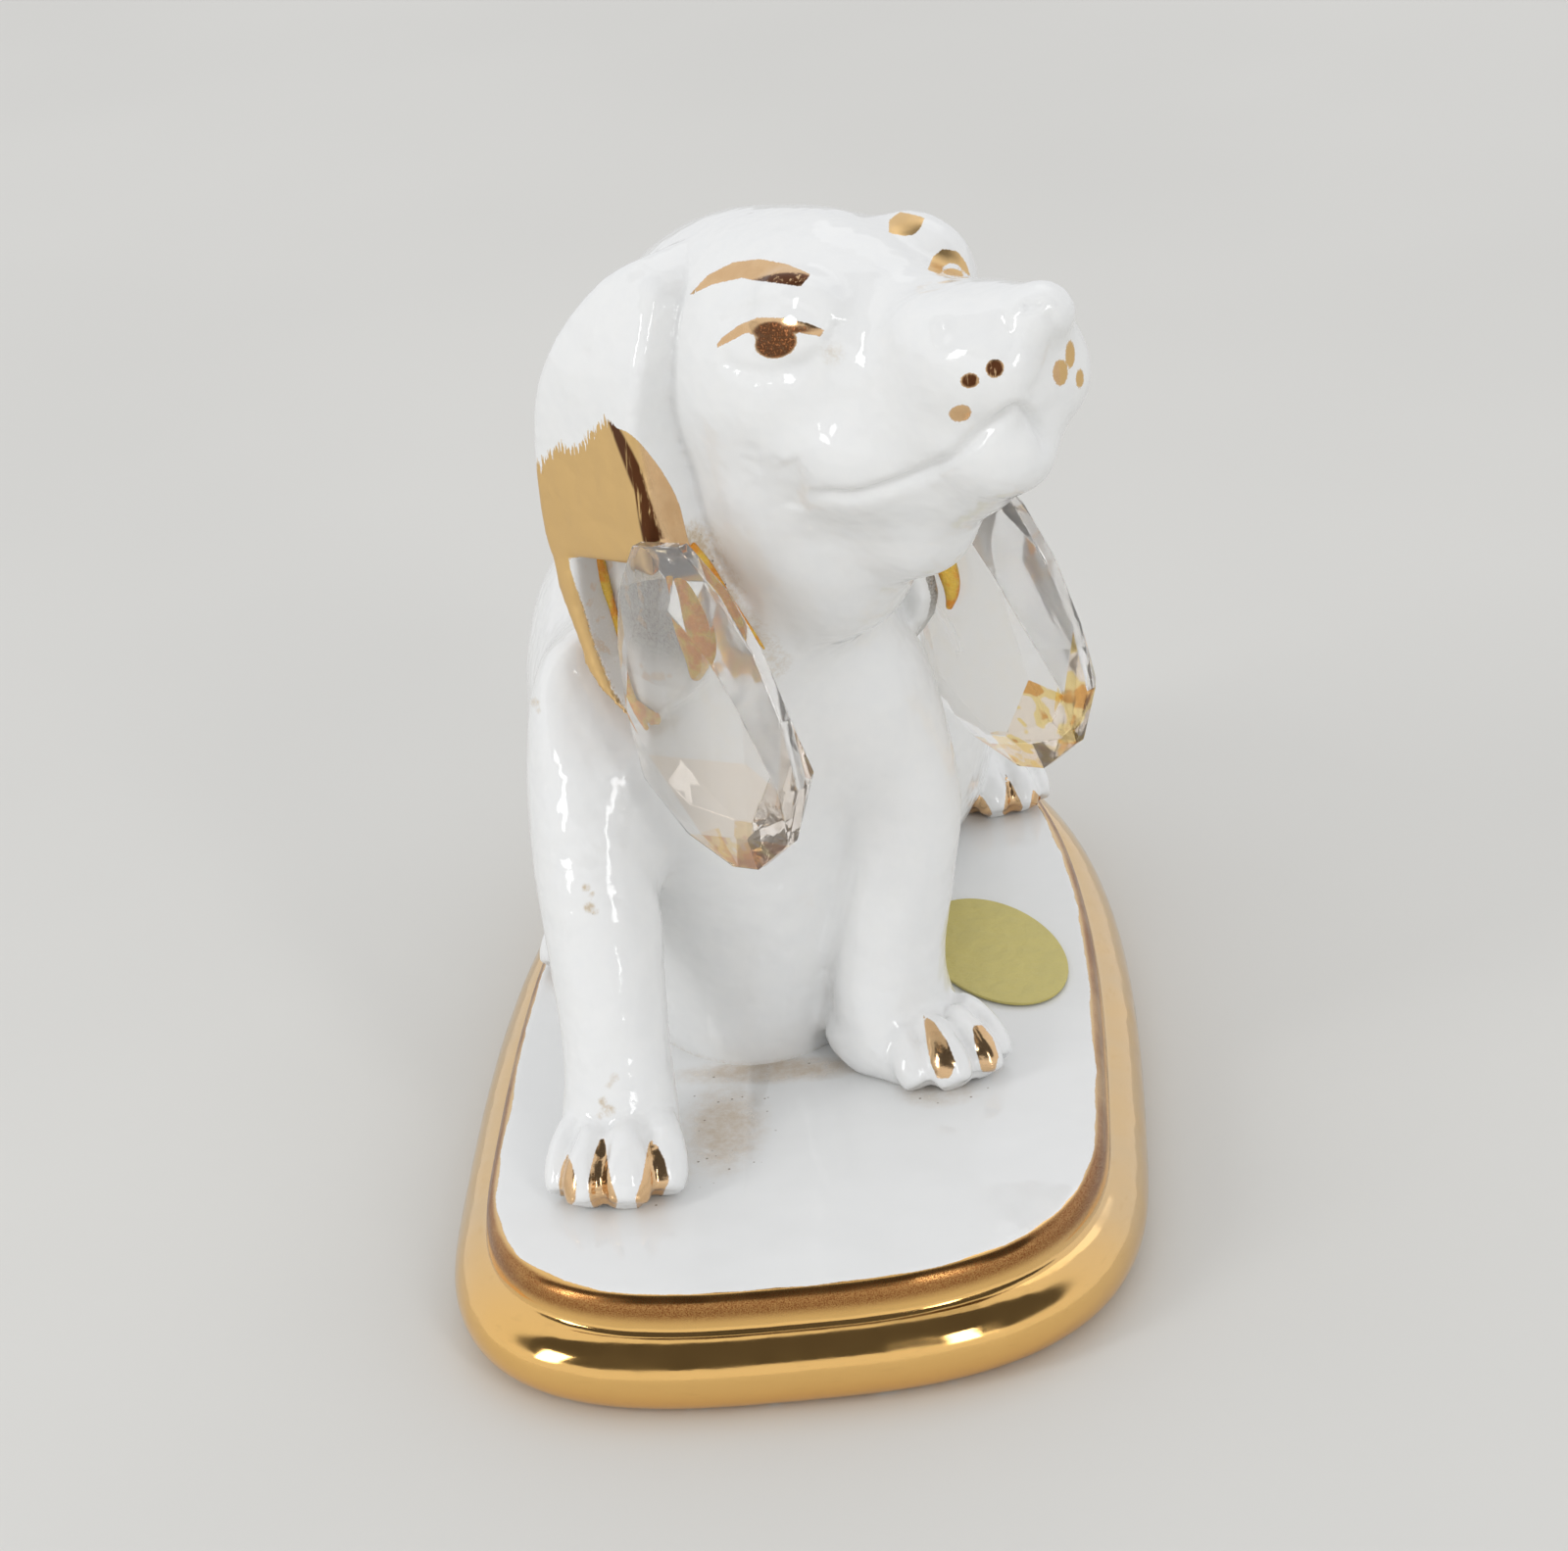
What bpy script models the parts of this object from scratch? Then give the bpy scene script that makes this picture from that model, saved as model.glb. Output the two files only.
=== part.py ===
"""Porcelain dog figurine: a seated dog with glued crystal ear drops on a gilt-edged plinth.

Every casting, crystal, cement bed and the paper label is its own closed solid.
Metres, +Z up. The origin is the centre of the plinth's foot, +X is the dog's left
and -Y is the end of the plinth that the forepaws stand at.
"""
import math

import bmesh
import bpy
from mathutils import Matrix, Vector

COLLECTION = "porcelain_dog"
CUTTERS = "porcelain_dog_cutters"

# Gaps and walls
SEAM = 0.0003
CASTING_WALL = 0.0036

# Plinth
PLINTH_WIDTH = 0.093
PLINTH_LENGTH = 0.165
PLINTH_HEIGHT = 0.0157
RIM_BULGE = 0.0066
COVE_DEPTH = 0.0017
ROLL_HEIGHT = 0.0108
ROLL_SWEEP = math.radians(151)
ROLL_STEPS = 7
PLINTH_SIDES = 56
WIDEST_FORWARD = 0.0387
FRONT_SQUARENESS = 2.87
REAR_SQUARENESS = 2.75
PLINTH_SLANT = 0.07
VENT_RADIUS = 0.004
VENT_PLACE = (-0.005, 0.020)

# Torso: how much narrower its far end is
RUMP_TAPER = 0.36

# Head: the point between the eyes, how far the face turns to the dog's left
EYE_POINT = Vector((0.0177, -0.0263, 0.1127))
HEAD_TURN = math.radians(46.5)

# Ears
EAR_THICKNESS = 0.0085
EAR_INNER_SIDE = 0.0155
EAR_SPLAY = 0.0015
TONGUE_THICKNESS = 0.0024
EAR_EDGE_ROUNDING = 0.0020

# Crystals
CRYSTAL_LENGTH = 0.0450
CRYSTAL_WIDTH = 0.0302
CRYSTAL_THICKNESS = 0.010
CRYSTAL_GIRDLE = 0.0018
CEMENT_BED = 0.0012
CEMENT_BEAD = 0.0024

# Label
LABEL_LENGTH = 0.0320
LABEL_WIDTH = 0.0180
LABEL_THICKNESS = 0.0004
LABEL_CENTRE = Vector((0.0263, 0.0041, 0.0))
LABEL_TURN = math.radians(24)

GLAZE = (0.86, 0.87, 0.88)
GOLD = (0.80, 0.60, 0.32)


def material(name, colour, roughness, metallic=0.0, transmission=0.0):
    mat = bpy.data.materials.new(name)
    mat.use_nodes = True
    shader = mat.node_tree.nodes["Principled BSDF"]
    shader.inputs["Base Color"].default_value = (*colour, 1.0)
    shader.inputs["Roughness"].default_value = roughness
    shader.inputs["Metallic"].default_value = metallic
    shader.inputs["Transmission Weight"].default_value = transmission
    mat.diffuse_color = (*colour, 1.0)
    return mat


def clear_scene():
    for thing in list(bpy.data.objects):
        bpy.data.objects.remove(thing, do_unlink=True)


def collection(name):
    group = bpy.data.collections.new(name)
    bpy.context.scene.collection.children.link(group)
    return group


def add_piece(name, bm, group, mat):
    """Turns a bmesh into a named object with faces pointing out."""
    bmesh.ops.recalc_face_normals(bm, faces=bm.faces)
    mesh = bpy.data.meshes.new(name)
    bm.to_mesh(mesh)
    bm.free()
    mesh.materials.append(mat)
    mesh.shade_smooth()
    mesh.set_sharp_from_angle(angle=math.radians(35))
    piece = bpy.data.objects.new(name, mesh)
    group.objects.link(piece)
    return piece


def add_cutter(name, bm, tools):
    """Turns a bmesh into a hidden cutter."""
    bmesh.ops.recalc_face_normals(bm, faces=bm.faces)
    mesh = bpy.data.meshes.new(name)
    bm.to_mesh(mesh)
    bm.free()
    return hide_as_cutter(name, mesh, tools)


def hide_as_cutter(name, mesh, tools):
    tool = bpy.data.objects.new(name, mesh)
    tools.objects.link(tool)
    tool.hide_render = True
    tool.display_type = "WIRE"
    return tool


def seam_cutter(solid, tools):
    """A hidden copy of a solid, grown outwards by the seam that it leaves round itself."""
    tool = hide_as_cutter(solid.name + "_seam", solid.data, tools)
    grow = tool.modifiers.new("seam", "DISPLACE")
    grow.mid_level = 0.0
    grow.strength = SEAM
    return tool


def boolean(piece, tool, operation):
    change = piece.modifiers.new(tool.name, "BOOLEAN")
    change.operation = operation
    change.object = tool


def cut(piece, *cutters):
    for tool in cutters:
        boolean(piece, tool, "DIFFERENCE")


def spline(stations, steps):
    """Reads a smooth curve through rows of numbers, with the given steps in each span."""
    rows = []
    count = len(stations)
    for span in range(count - 1):
        before = stations[max(span - 1, 0)]
        start = stations[span]
        end = stations[span + 1]
        after = stations[min(span + 2, count - 1)]
        for step in range(steps):
            t = step / steps
            rows.append(
                tuple(
                    0.5
                    * (
                        2 * b
                        + (c - a) * t
                        + (2 * a - 5 * b + 4 * c - d) * t * t
                        + (3 * b - a - 3 * c + d) * t * t * t
                    )
                    for a, b, c, d in zip(before, start, end, after)
                )
            )
    rows.append(tuple(stations[-1]))
    return rows


def ring(centre, across, up, half_width, half_height, sides, squareness=2.0):
    """Points round a superellipse in the plane of two unit vectors."""
    points = []
    for k in range(sides):
        angle = 2 * math.pi * k / sides
        c, s = math.cos(angle), math.sin(angle)
        x = math.copysign(abs(c) ** (2 / squareness), c) * half_width
        y = math.copysign(abs(s) ** (2 / squareness), s) * half_height
        points.append(centre + across * x + up * y)
    return points


def loft(rings):
    """Skins a stack of equal rings and closes both ends with a fan."""
    bm = bmesh.new()
    loops = [[bm.verts.new(point) for point in points] for points in rings]
    sides = len(loops[0])
    for lower, upper in zip(loops, loops[1:]):
        for k in range(sides):
            n = (k + 1) % sides
            bm.faces.new((lower[k], lower[n], upper[n], upper[k]))
    for loop, points in ((loops[0], rings[0]), (loops[-1], rings[-1])):
        pole = bm.verts.new(sum(points, Vector()) / sides)
        for k in range(sides):
            bm.faces.new((loop[k], loop[(k + 1) % sides], pole))
    return bm


def limb(stations, steps, sides, side_hint):
    """A tapering limb: rows of centre x, y, z, half width across and half depth."""
    rows = spline(stations, steps)
    centres = [Vector(row[:3]) for row in rows]
    rings = []
    for k, row in enumerate(rows):
        ahead = centres[min(k + 1, len(rows) - 1)] - centres[max(k - 1, 0)]
        across = (side_hint - ahead * (side_hint.dot(ahead) / ahead.length_squared)).normalized()
        depth = ahead.normalized().cross(across)
        rings.append(ring(centres[k], across, depth, row[3], row[4], sides))
    return loft(rings)


def stand(bm, height):
    """Cuts a casting off flat at a height, so that it stands on what lies below."""
    geometry = bm.verts[:] + bm.edges[:] + bm.faces[:]
    bmesh.ops.bisect_plane(
        bm, geom=geometry, plane_co=(0, 0, height), plane_no=(0, 0, 1), clear_inner=True
    )
    rim = [edge for edge in bm.edges if edge.is_boundary]
    bmesh.ops.holes_fill(bm, edges=rim, sides=0)
    return bm


def outline_point(angle, inset):
    """A point of the plinth's plan, inset from its outermost edge."""
    half_width = PLINTH_WIDTH / 2 - inset
    widest = -WIDEST_FORWARD
    c, s = math.cos(angle), math.sin(angle)
    reach = PLINTH_LENGTH / 2 - inset
    half_length = reach - widest if s > 0 else reach + widest
    power = 2 / (REAR_SQUARENESS if s > 0 else FRONT_SQUARENESS)
    x = math.copysign(abs(c) ** power, c) * half_width
    y = widest + math.copysign(abs(s) ** power, s) * half_length
    return x, y + PLINTH_SLANT * x


def plinth_profile():
    """Half section from the cavity's roof, under the foot and up to the table: inset, height."""
    roof = PLINTH_HEIGHT - CASTING_WALL
    wall = RIM_BULGE + 0.3 * CASTING_WALL
    roll = ROLL_HEIGHT / 2
    profile = [(wall + 0.003, roof), (wall + 0.001, roof - 0.002), (wall, roll), (wall, 0.0)]
    for step in range(ROLL_STEPS):
        angle = ROLL_SWEEP * (step / (ROLL_STEPS - 1) - 0.5)
        height = roll * (1 + math.sin(angle)) if step else 0.0
        profile.append((roll * (1 - math.cos(angle)), height))
    profile.append((RIM_BULGE - COVE_DEPTH, ROLL_HEIGHT + 0.0006))
    profile.append((RIM_BULGE - 0.8 * COVE_DEPTH, PLINTH_HEIGHT - 0.0018))
    profile.append((RIM_BULGE - 0.4 * COVE_DEPTH, PLINTH_HEIGHT - 0.0005))
    profile.append((RIM_BULGE, PLINTH_HEIGHT))
    return profile


def plinth_ring(inset, height):
    points = []
    for k in range(PLINTH_SIDES):
        x, y = outline_point(2 * math.pi * (k + 0.5) / PLINTH_SIDES, inset)
        points.append(Vector((x, y, height)))
    return points


def build_plinth(group, mats, tools):
    """The gilt-edged plinth: a cast shell, open underneath, with a firing vent in its top."""
    rings = [plinth_ring(inset, height) for inset, height in plinth_profile()]
    plinth = add_piece("plinth", loft(rings), group, mats["gold"])
    bore = bmesh.new()
    bmesh.ops.create_cone(
        bore,
        cap_ends=True,
        segments=20,
        radius1=VENT_RADIUS,
        radius2=VENT_RADIUS,
        depth=4 * CASTING_WALL,
        matrix=Matrix.Translation((*VENT_PLACE, PLINTH_HEIGHT - CASTING_WALL / 2)),
    )
    cut(plinth, add_cutter("vent_bore", bore, tools))
    return plinth


# Torso, as level slices: height over the plinth, centre x and y, half width, half depth
TORSO_SLICES = (
    (0.0000, -0.0066, 0.0250, 0.0230, 0.0475),
    (0.0140, -0.0055, 0.0255, 0.0280, 0.0490),
    (0.0290, -0.0072, 0.0200, 0.0288, 0.0460),
    (0.0440, -0.0085, 0.0115, 0.0275, 0.0405),
    (0.0560, -0.0088, 0.0035, 0.0245, 0.0315),
    (0.0660, -0.0020, -0.0060, 0.0195, 0.0215),
    (0.0740, 0.0045, -0.0125, 0.0160, 0.0165),
    (0.0820, 0.0080, -0.0165, 0.0156, 0.0158),
    (0.0900, 0.0100, -0.0190, 0.0152, 0.0158),
    (0.0950, 0.0100, -0.0190, 0.0120, 0.0120),
    (0.0975, 0.0100, -0.0190, 0.0060, 0.0060),
)


def torso_ring(row, shrink):
    height, x, y, half_width, half_depth = row
    centre = Vector((x, y, PLINTH_HEIGHT + SEAM + height))
    sizes = (half_width - shrink, half_depth - shrink)
    points = ring(centre, Vector((1, 0, 0)), Vector((0, 1, 0)), *sizes, 36, 2.15)
    for point in points:
        back = max(0.0, point.y - y) / sizes[1]
        point.x = x + (point.x - x) * (1 - RUMP_TAPER * back)
    return points


def build_torso(group, mats, tools):
    """The body casting, a hollow shell from the open foot of the chest to the open neck."""
    rows = spline(TORSO_SLICES, 2)
    torso = add_piece("torso", loft([torso_ring(row, 0.0) for row in rows]), group, mats["glaze"])
    hollow = [row for row in TORSO_SLICES if min(row[3], row[4]) > 3 * CASTING_WALL]
    foot = (-2 * CASTING_WALL, *hollow[0][1:])
    mouth = (TORSO_SLICES[-1][0] + CASTING_WALL, *hollow[-1][1:])
    rings = [torso_ring(row, CASTING_WALL) for row in (foot, *hollow, mouth)]
    cut(torso, add_cutter("torso_hollow", loft(rings), tools))
    return torso


# Foreleg stations: x, y, height over the plinth, half width, half depth
RIGHT_FORELEG = (
    (-0.0205, -0.0110, 0.0600, 0.0060, 0.0080),
    (-0.0220, -0.0150, 0.0560, 0.0100, 0.0120),
    (-0.0237, -0.0235, 0.0420, 0.0096, 0.0110),
    (-0.0235, -0.0325, 0.0280, 0.0080, 0.0085),
    (-0.0228, -0.0390, 0.0150, 0.0073, 0.0076),
    (-0.0228, -0.0440, 0.0065, 0.0080, 0.0075),
    (-0.0232, -0.0500, 0.0020, 0.0088, 0.0060),
    (-0.0232, -0.0555, 0.0000, 0.0075, 0.0035),
    (-0.0230, -0.0573, -0.0004, 0.0035, 0.0015),
)
LEFT_FORELEG = (
    (0.0095, -0.0030, 0.0520, 0.0060, 0.0080),
    (0.0120, -0.0070, 0.0480, 0.0092, 0.0112),
    (0.0158, -0.0120, 0.0370, 0.0086, 0.0095),
    (0.0160, -0.0160, 0.0260, 0.0074, 0.0078),
    (0.0142, -0.0180, 0.0150, 0.0074, 0.0076),
    (0.0155, -0.0195, 0.0065, 0.0085, 0.0078),
    (0.0195, -0.0220, 0.0020, 0.0090, 0.0062),
    (0.0238, -0.0250, 0.0000, 0.0078, 0.0036),
    (0.0254, -0.0262, -0.0004, 0.0036, 0.0015),
)


def raised(stations):
    """Lifts stations given over the plinth's top to their real height."""
    return [(x, y, PLINTH_HEIGHT + z, a, b) for x, y, z, a, b in stations]


def build_foreleg(word, stations, across, group, mats, tools, cutters):
    bm = stand(limb(raised(stations), 2, 20, across.normalized()), PLINTH_HEIGHT + SEAM)
    leg = add_piece("foreleg_" + word, bm, group, mats["glaze"])
    cut(leg, cutters["torso"])
    cutters["foreleg_" + word] = seam_cutter(leg, tools)
    return leg


# Haunches: centre x, y and height over the plinth, half sizes, and turn about +Z
HAUNCHES = {
    "right": (-0.0248, 0.0330, 0.0200, 0.0112, 0.0225, 0.0210, math.radians(8)),
    "left": (0.0165, 0.0430, 0.0190, 0.0105, 0.0225, 0.0200, math.radians(-8)),
}
# Hind feet, heel to toes: x, y, height over the plinth, half width, half depth
HIND_FEET = {
    "right": (
        (-0.0265, 0.0385, 0.0060, 0.0030, 0.0035),
        (-0.0268, 0.0350, 0.0055, 0.0058, 0.0066),
        (-0.0290, 0.0220, 0.0040, 0.0062, 0.0062),
        (-0.0312, 0.0110, 0.0020, 0.0068, 0.0056),
        (-0.0322, 0.0050, 0.0000, 0.0058, 0.0038),
        (-0.0326, 0.0032, -0.0004, 0.0030, 0.0015),
    ),
    "left": (
        (0.0195, 0.0690, 0.0060, 0.0030, 0.0035),
        (0.0200, 0.0660, 0.0055, 0.0058, 0.0066),
        (0.0235, 0.0580, 0.0045, 0.0065, 0.0062),
        (0.0260, 0.0515, 0.0025, 0.0070, 0.0058),
        (0.0272, 0.0465, 0.0000, 0.0062, 0.0040),
        (0.0276, 0.0447, -0.0004, 0.0030, 0.0015),
    ),
}


def build_hind_leg(word, group, mats, tools, cutters):
    """A folded haunch with the long foot under it, cast as one."""
    x, y, height, half_x, half_y, half_z, turn = HAUNCHES[word]
    bm = bmesh.new()
    place = Matrix.Translation((x, y, PLINTH_HEIGHT + height))
    shape = Matrix.Rotation(turn, 4, "Z") @ Matrix.Diagonal((half_x, half_y, half_z, 1.0))
    bmesh.ops.create_uvsphere(bm, u_segments=24, v_segments=14, radius=1.0, matrix=place @ shape)
    stand(bm, PLINTH_HEIGHT + SEAM)
    leg = add_piece("hind_leg_" + word, bm, group, mats["glaze"])
    foot = stand(limb(raised(HIND_FEET[word]), 2, 18, Vector((1, 0, 0))), PLINTH_HEIGHT + SEAM)
    foot = add_cutter("foot_" + word, foot, tools)
    boolean(leg, foot, "UNION")
    cut(leg, cutters["torso"])
    cutters["haunch_" + word] = seam_cutter(leg, tools)
    cutters["foot_" + word] = seam_cutter(foot, tools)
    return leg


# Tail stations, from the rump round the dog's right side
TAIL = (
    (-0.0040, 0.0630, 0.0080, 0.0050, 0.0050),
    (-0.0090, 0.0680, 0.0060, 0.0055, 0.0055),
    (-0.0180, 0.0675, 0.0042, 0.0052, 0.0050),
    (-0.0255, 0.0590, 0.0036, 0.0046, 0.0044),
    (-0.0285, 0.0500, 0.0030, 0.0036, 0.0036),
    (-0.0285, 0.0440, 0.0026, 0.0015, 0.0015),
)


def build_tail(group, mats, cutters):
    bm = stand(limb(raised(TAIL), 3, 14, Vector((0, 0, 1))), PLINTH_HEIGHT + SEAM)
    tail = add_piece("tail", bm, group, mats["glaze"])
    cut(tail, cutters["torso"], cutters["haunch_right"], cutters["foot_right"])
    return tail


def head_axes():
    """The face's forward, the dog's left and up."""
    forward = Vector((math.sin(HEAD_TURN), -math.cos(HEAD_TURN), 0))
    left = Vector((math.cos(HEAD_TURN), math.sin(HEAD_TURN), 0))
    return forward, left, Vector((0, 0, 1))


def on_head(forward_by, left_by, up_by):
    """A point measured from between the eyes, with the eyes' height over the plinth."""
    forward, left, up = head_axes()
    base = EYE_POINT + Vector((0, 0, PLINTH_HEIGHT))
    return base + forward * forward_by + left * left_by + up * up_by


# Head stations along the face: forward, centre height, half width, half height
HEAD_STATIONS = (
    (-0.0420, -0.0150, 0.0050, 0.0060),
    (-0.0385, -0.0145, 0.0130, 0.0130),
    (-0.0290, -0.0125, 0.0165, 0.0180),
    (-0.0180, -0.0113, 0.0180, 0.0200),
    (-0.0070, -0.0100, 0.0198, 0.0206),
    (0.0020, -0.0090, 0.0178, 0.0190),
    (0.0100, -0.0085, 0.0145, 0.0155),
    (0.0190, -0.0070, 0.0124, 0.0143),
    (0.0262, -0.0038, 0.0108, 0.0128),
    (0.0304, -0.0012, 0.0082, 0.0095),
    (0.0325, -0.0002, 0.0045, 0.0045),
)


def head_ring(row, shrink):
    forward, left, up = head_axes()
    ahead, height, half_width, half_height = row
    sizes = (half_width - shrink, half_height - shrink)
    return ring(on_head(ahead, 0, height), left, up, *sizes, 28, 2.1)


def build_head(group, mats, tools, cutters):
    """The head casting, hollow, with a socket underneath that the neck stands in."""
    rows = spline(HEAD_STATIONS, 2)
    head = add_piece("head", loft([head_ring(row, 0.0) for row in rows]), group, mats["glaze"])
    hollow = [row for row in HEAD_STATIONS if min(row[2], row[3]) > 4 * CASTING_WALL]
    rings = [head_ring(row, CASTING_WALL) for row in hollow]
    cut(head, add_cutter("head_hollow", loft(rings), tools), cutters["torso"])
    return head


# Ear outline in the head's side view: forward, height from the eyes
EAR_OUTLINE = (
    (-0.0235, 0.0060),
    (-0.0185, 0.0035),
    (-0.0170, -0.0050),
    (-0.0175, -0.0160),
    (-0.0145, -0.0320),
    (-0.0100, -0.0420),
    (-0.0160, -0.0510),
    (-0.0250, -0.0570),
    (-0.0318, -0.0510),
    (-0.0365, -0.0400),
    (-0.0388, -0.0285),
    (-0.0380, -0.0150),
    (-0.0340, -0.0045),
    (-0.0285, 0.0030),
)
EAR_TOP = 0.0060
EAR_TIP = -0.0570
EAR_SHOULDER = -0.0140
EAR_STEP = -0.0325
EAR_LEAN_IN = 0.0075
EAR_BENDS = (0.0, 0.3, 0.55, 0.78)
# How much lower each ear hangs than its outline says
EAR_DROP = {"right": 0.0, "left": 0.0085}


def ear_side(height):
    """How far out an ear's inner face stands: it leans in on the skull and splays at the tip."""
    splay = EAR_SPLAY * (EAR_TOP - height) / (EAR_TOP - EAR_TIP)
    over = max(0.0, (height - EAR_SHOULDER) / (EAR_TOP - EAR_SHOULDER))
    return EAR_INNER_SIDE + splay - EAR_LEAN_IN * over**2


def ear_slab(word, side, outline, low, high):
    """A plate on an ear, thick from one depth to another and bent in over the skull."""
    bm = bmesh.new()
    rim = [bm.verts.new((ahead, low, height - EAR_DROP[word])) for ahead, height in outline]
    sheet = bmesh.ops.extrude_face_region(bm, geom=[bm.faces.new(rim)])
    raised_verts = [item for item in sheet["geom"] if isinstance(item, bmesh.types.BMVert)]
    bmesh.ops.translate(bm, verts=raised_verts, vec=(0, high - low, 0))
    for share in EAR_BENDS:
        height = EAR_SHOULDER + (EAR_TOP - EAR_SHOULDER) * share
        everything = bm.verts[:] + bm.edges[:] + bm.faces[:]
        bmesh.ops.bisect_plane(bm, geom=everything, plane_co=(0, 0, height), plane_no=(0, 0, 1))
    for vert in bm.verts:
        ahead, depth, height = vert.co
        vert.co = on_head(ahead, side * (ear_side(height) + depth), height)
    bmesh.ops.triangulate(bm, faces=bm.faces[:])
    return bm


# The crystal's seat in the ear: below the step and in front of the rim at the back
SEAT_OUTLINE = (
    (0.0040, EAR_STEP),
    (-0.0315, EAR_STEP),
    (-0.0305, EAR_STEP - 0.0080),
    (-0.0285, EAR_STEP - 0.0150),
    (-0.0340, EAR_STEP - 0.0300),
    (0.0040, EAR_STEP - 0.0300),
)


def build_ear(word, side, group, mats, tools, cutters):
    """An ear casting with a step and a tongue that the crystal is cemented to."""
    outline = spline(EAR_OUTLINE + EAR_OUTLINE[:1], 2)[:-1]
    slab = ear_slab(word, side, outline, 0.0, EAR_THICKNESS)
    ear = add_piece("ear_" + word, slab, group, mats["gold"])
    edge = ear.modifiers.new("soft_edge", "BEVEL")
    edge.width = EAR_EDGE_ROUNDING
    edge.segments = 2
    edge.limit_method = "ANGLE"
    edge.angle_limit = math.radians(50)
    seat = ear_slab(word, side, SEAT_OUTLINE, TONGUE_THICKNESS, 3 * EAR_THICKNESS)
    cut(ear, add_cutter("seat_" + word, seat, tools))
    cut(ear, *(cutters[name] for name in ("head", "torso", "foreleg_" + word, "crystal_" + word)))
    tongue = ear_slab(word, side, outline, -EAR_THICKNESS, TONGUE_THICKNESS + SEAM)
    cutters["tongue_" + word] = add_cutter("tongue_" + word, tongue, tools)
    return ear


# Crystal girdle: share of the half width, share of the half length, going round
GIRDLE = (
    (0.30, 1.00),
    (0.66, 0.72),
    (0.88, 0.38),
    (1.00, -0.04),
    (0.98, -0.47),
    (0.72, -0.80),
    (0.28, -0.98),
)
# Where each crystal hangs: its middle's forward and height from the eyes, and its lean
CRYSTAL_PLACES = {
    "right": (-0.0070, -0.0480, math.radians(14)),
    "left": (-0.0072, -0.0560, math.radians(14)),
}


def crystal_point(side, place, across, along, out):
    """A point of a crystal: forward of its middle, along its length, and outwards."""
    ahead, height, lean = place
    ahead += across * math.cos(lean) - along * math.sin(lean)
    height += across * math.sin(lean) + along * math.cos(lean)
    middle = EAR_INNER_SIDE + EAR_SPLAY + TONGUE_THICKNESS + CEMENT_BED + CRYSTAL_THICKNESS / 2
    return on_head(ahead, side * (middle + 2 * SEAM + out), height)


def build_crystal(word, side, group, mats):
    """A cut glass drop: a girdle, two rows of facets and a flat table on each face."""
    half_width, half_length = CRYSTAL_WIDTH / 2, CRYSTAL_LENGTH / 2
    outline = list(GIRDLE) + [(-x, y) for x, y in reversed(GIRDLE)]
    rows = (
        (outline, 1.0, 1.0, CRYSTAL_GIRDLE / 2),
        (outline[1::2], 0.76, 0.82, CRYSTAL_THICKNESS * 0.36),
        (outline[::2], 0.52, 0.64, CRYSTAL_THICKNESS / 2),
    )
    bm = bmesh.new()
    for points, width_share, length_share, out in rows:
        for x, y in points:
            across, along = x * half_width * width_share, y * half_length * length_share
            for face in (-1, 1):
                bm.verts.new(crystal_point(side, CRYSTAL_PLACES[word], across, along, face * out))
    hull = bmesh.ops.convex_hull(bm, input=bm.verts)
    spare = {item for item in hull["geom_interior"] if isinstance(item, bmesh.types.BMVert)}
    bmesh.ops.delete(bm, geom=list(spare), context="VERTS")
    return add_piece("crystal_" + word, bm, group, mats["crystal"])


def build_cement(word, side, group, mats, cutters):
    """The bead of cement behind a crystal's rear edge, against the ear's tongue."""
    stations = []
    for share, size in ((0.40, 0.4), (0.32, 0.9), (0.1, 1.0), (-0.1, 1.0), (-0.28, 0.8), (-0.36, 0.3)):
        across = -0.70 * CRYSTAL_WIDTH / 2
        along = share * CRYSTAL_LENGTH / 2
        point = crystal_point(side, CRYSTAL_PLACES[word], across, along, -0.52 * CRYSTAL_THICKNESS)
        stations.append((*point, size * CEMENT_BEAD, size * CEMENT_BEAD))
    bead = add_piece("cement_" + word, limb(stations, 2, 12, head_axes()[1]), group, mats["cement"])
    names = ("tongue_" + word, "crystal_" + word, "torso", "foreleg_" + word)
    cut(bead, *(cutters[name] for name in names))
    return bead


def build_label(group, mats):
    """The oval paper label on the plinth's top, left bare."""
    bm = bmesh.new()
    bmesh.ops.create_cone(
        bm,
        cap_ends=True,
        segments=40,
        radius1=0.5,
        radius2=0.5,
        depth=1.0,
        matrix=Matrix.Translation(
            LABEL_CENTRE + Vector((0, 0, PLINTH_HEIGHT + SEAM + LABEL_THICKNESS / 2))
        )
        @ Matrix.Rotation(LABEL_TURN, 4, "Z")
        @ Matrix.Diagonal((LABEL_WIDTH, LABEL_LENGTH, LABEL_THICKNESS, 1.0)),
    )
    return add_piece("label", bm, group, mats["paper"])


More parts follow.
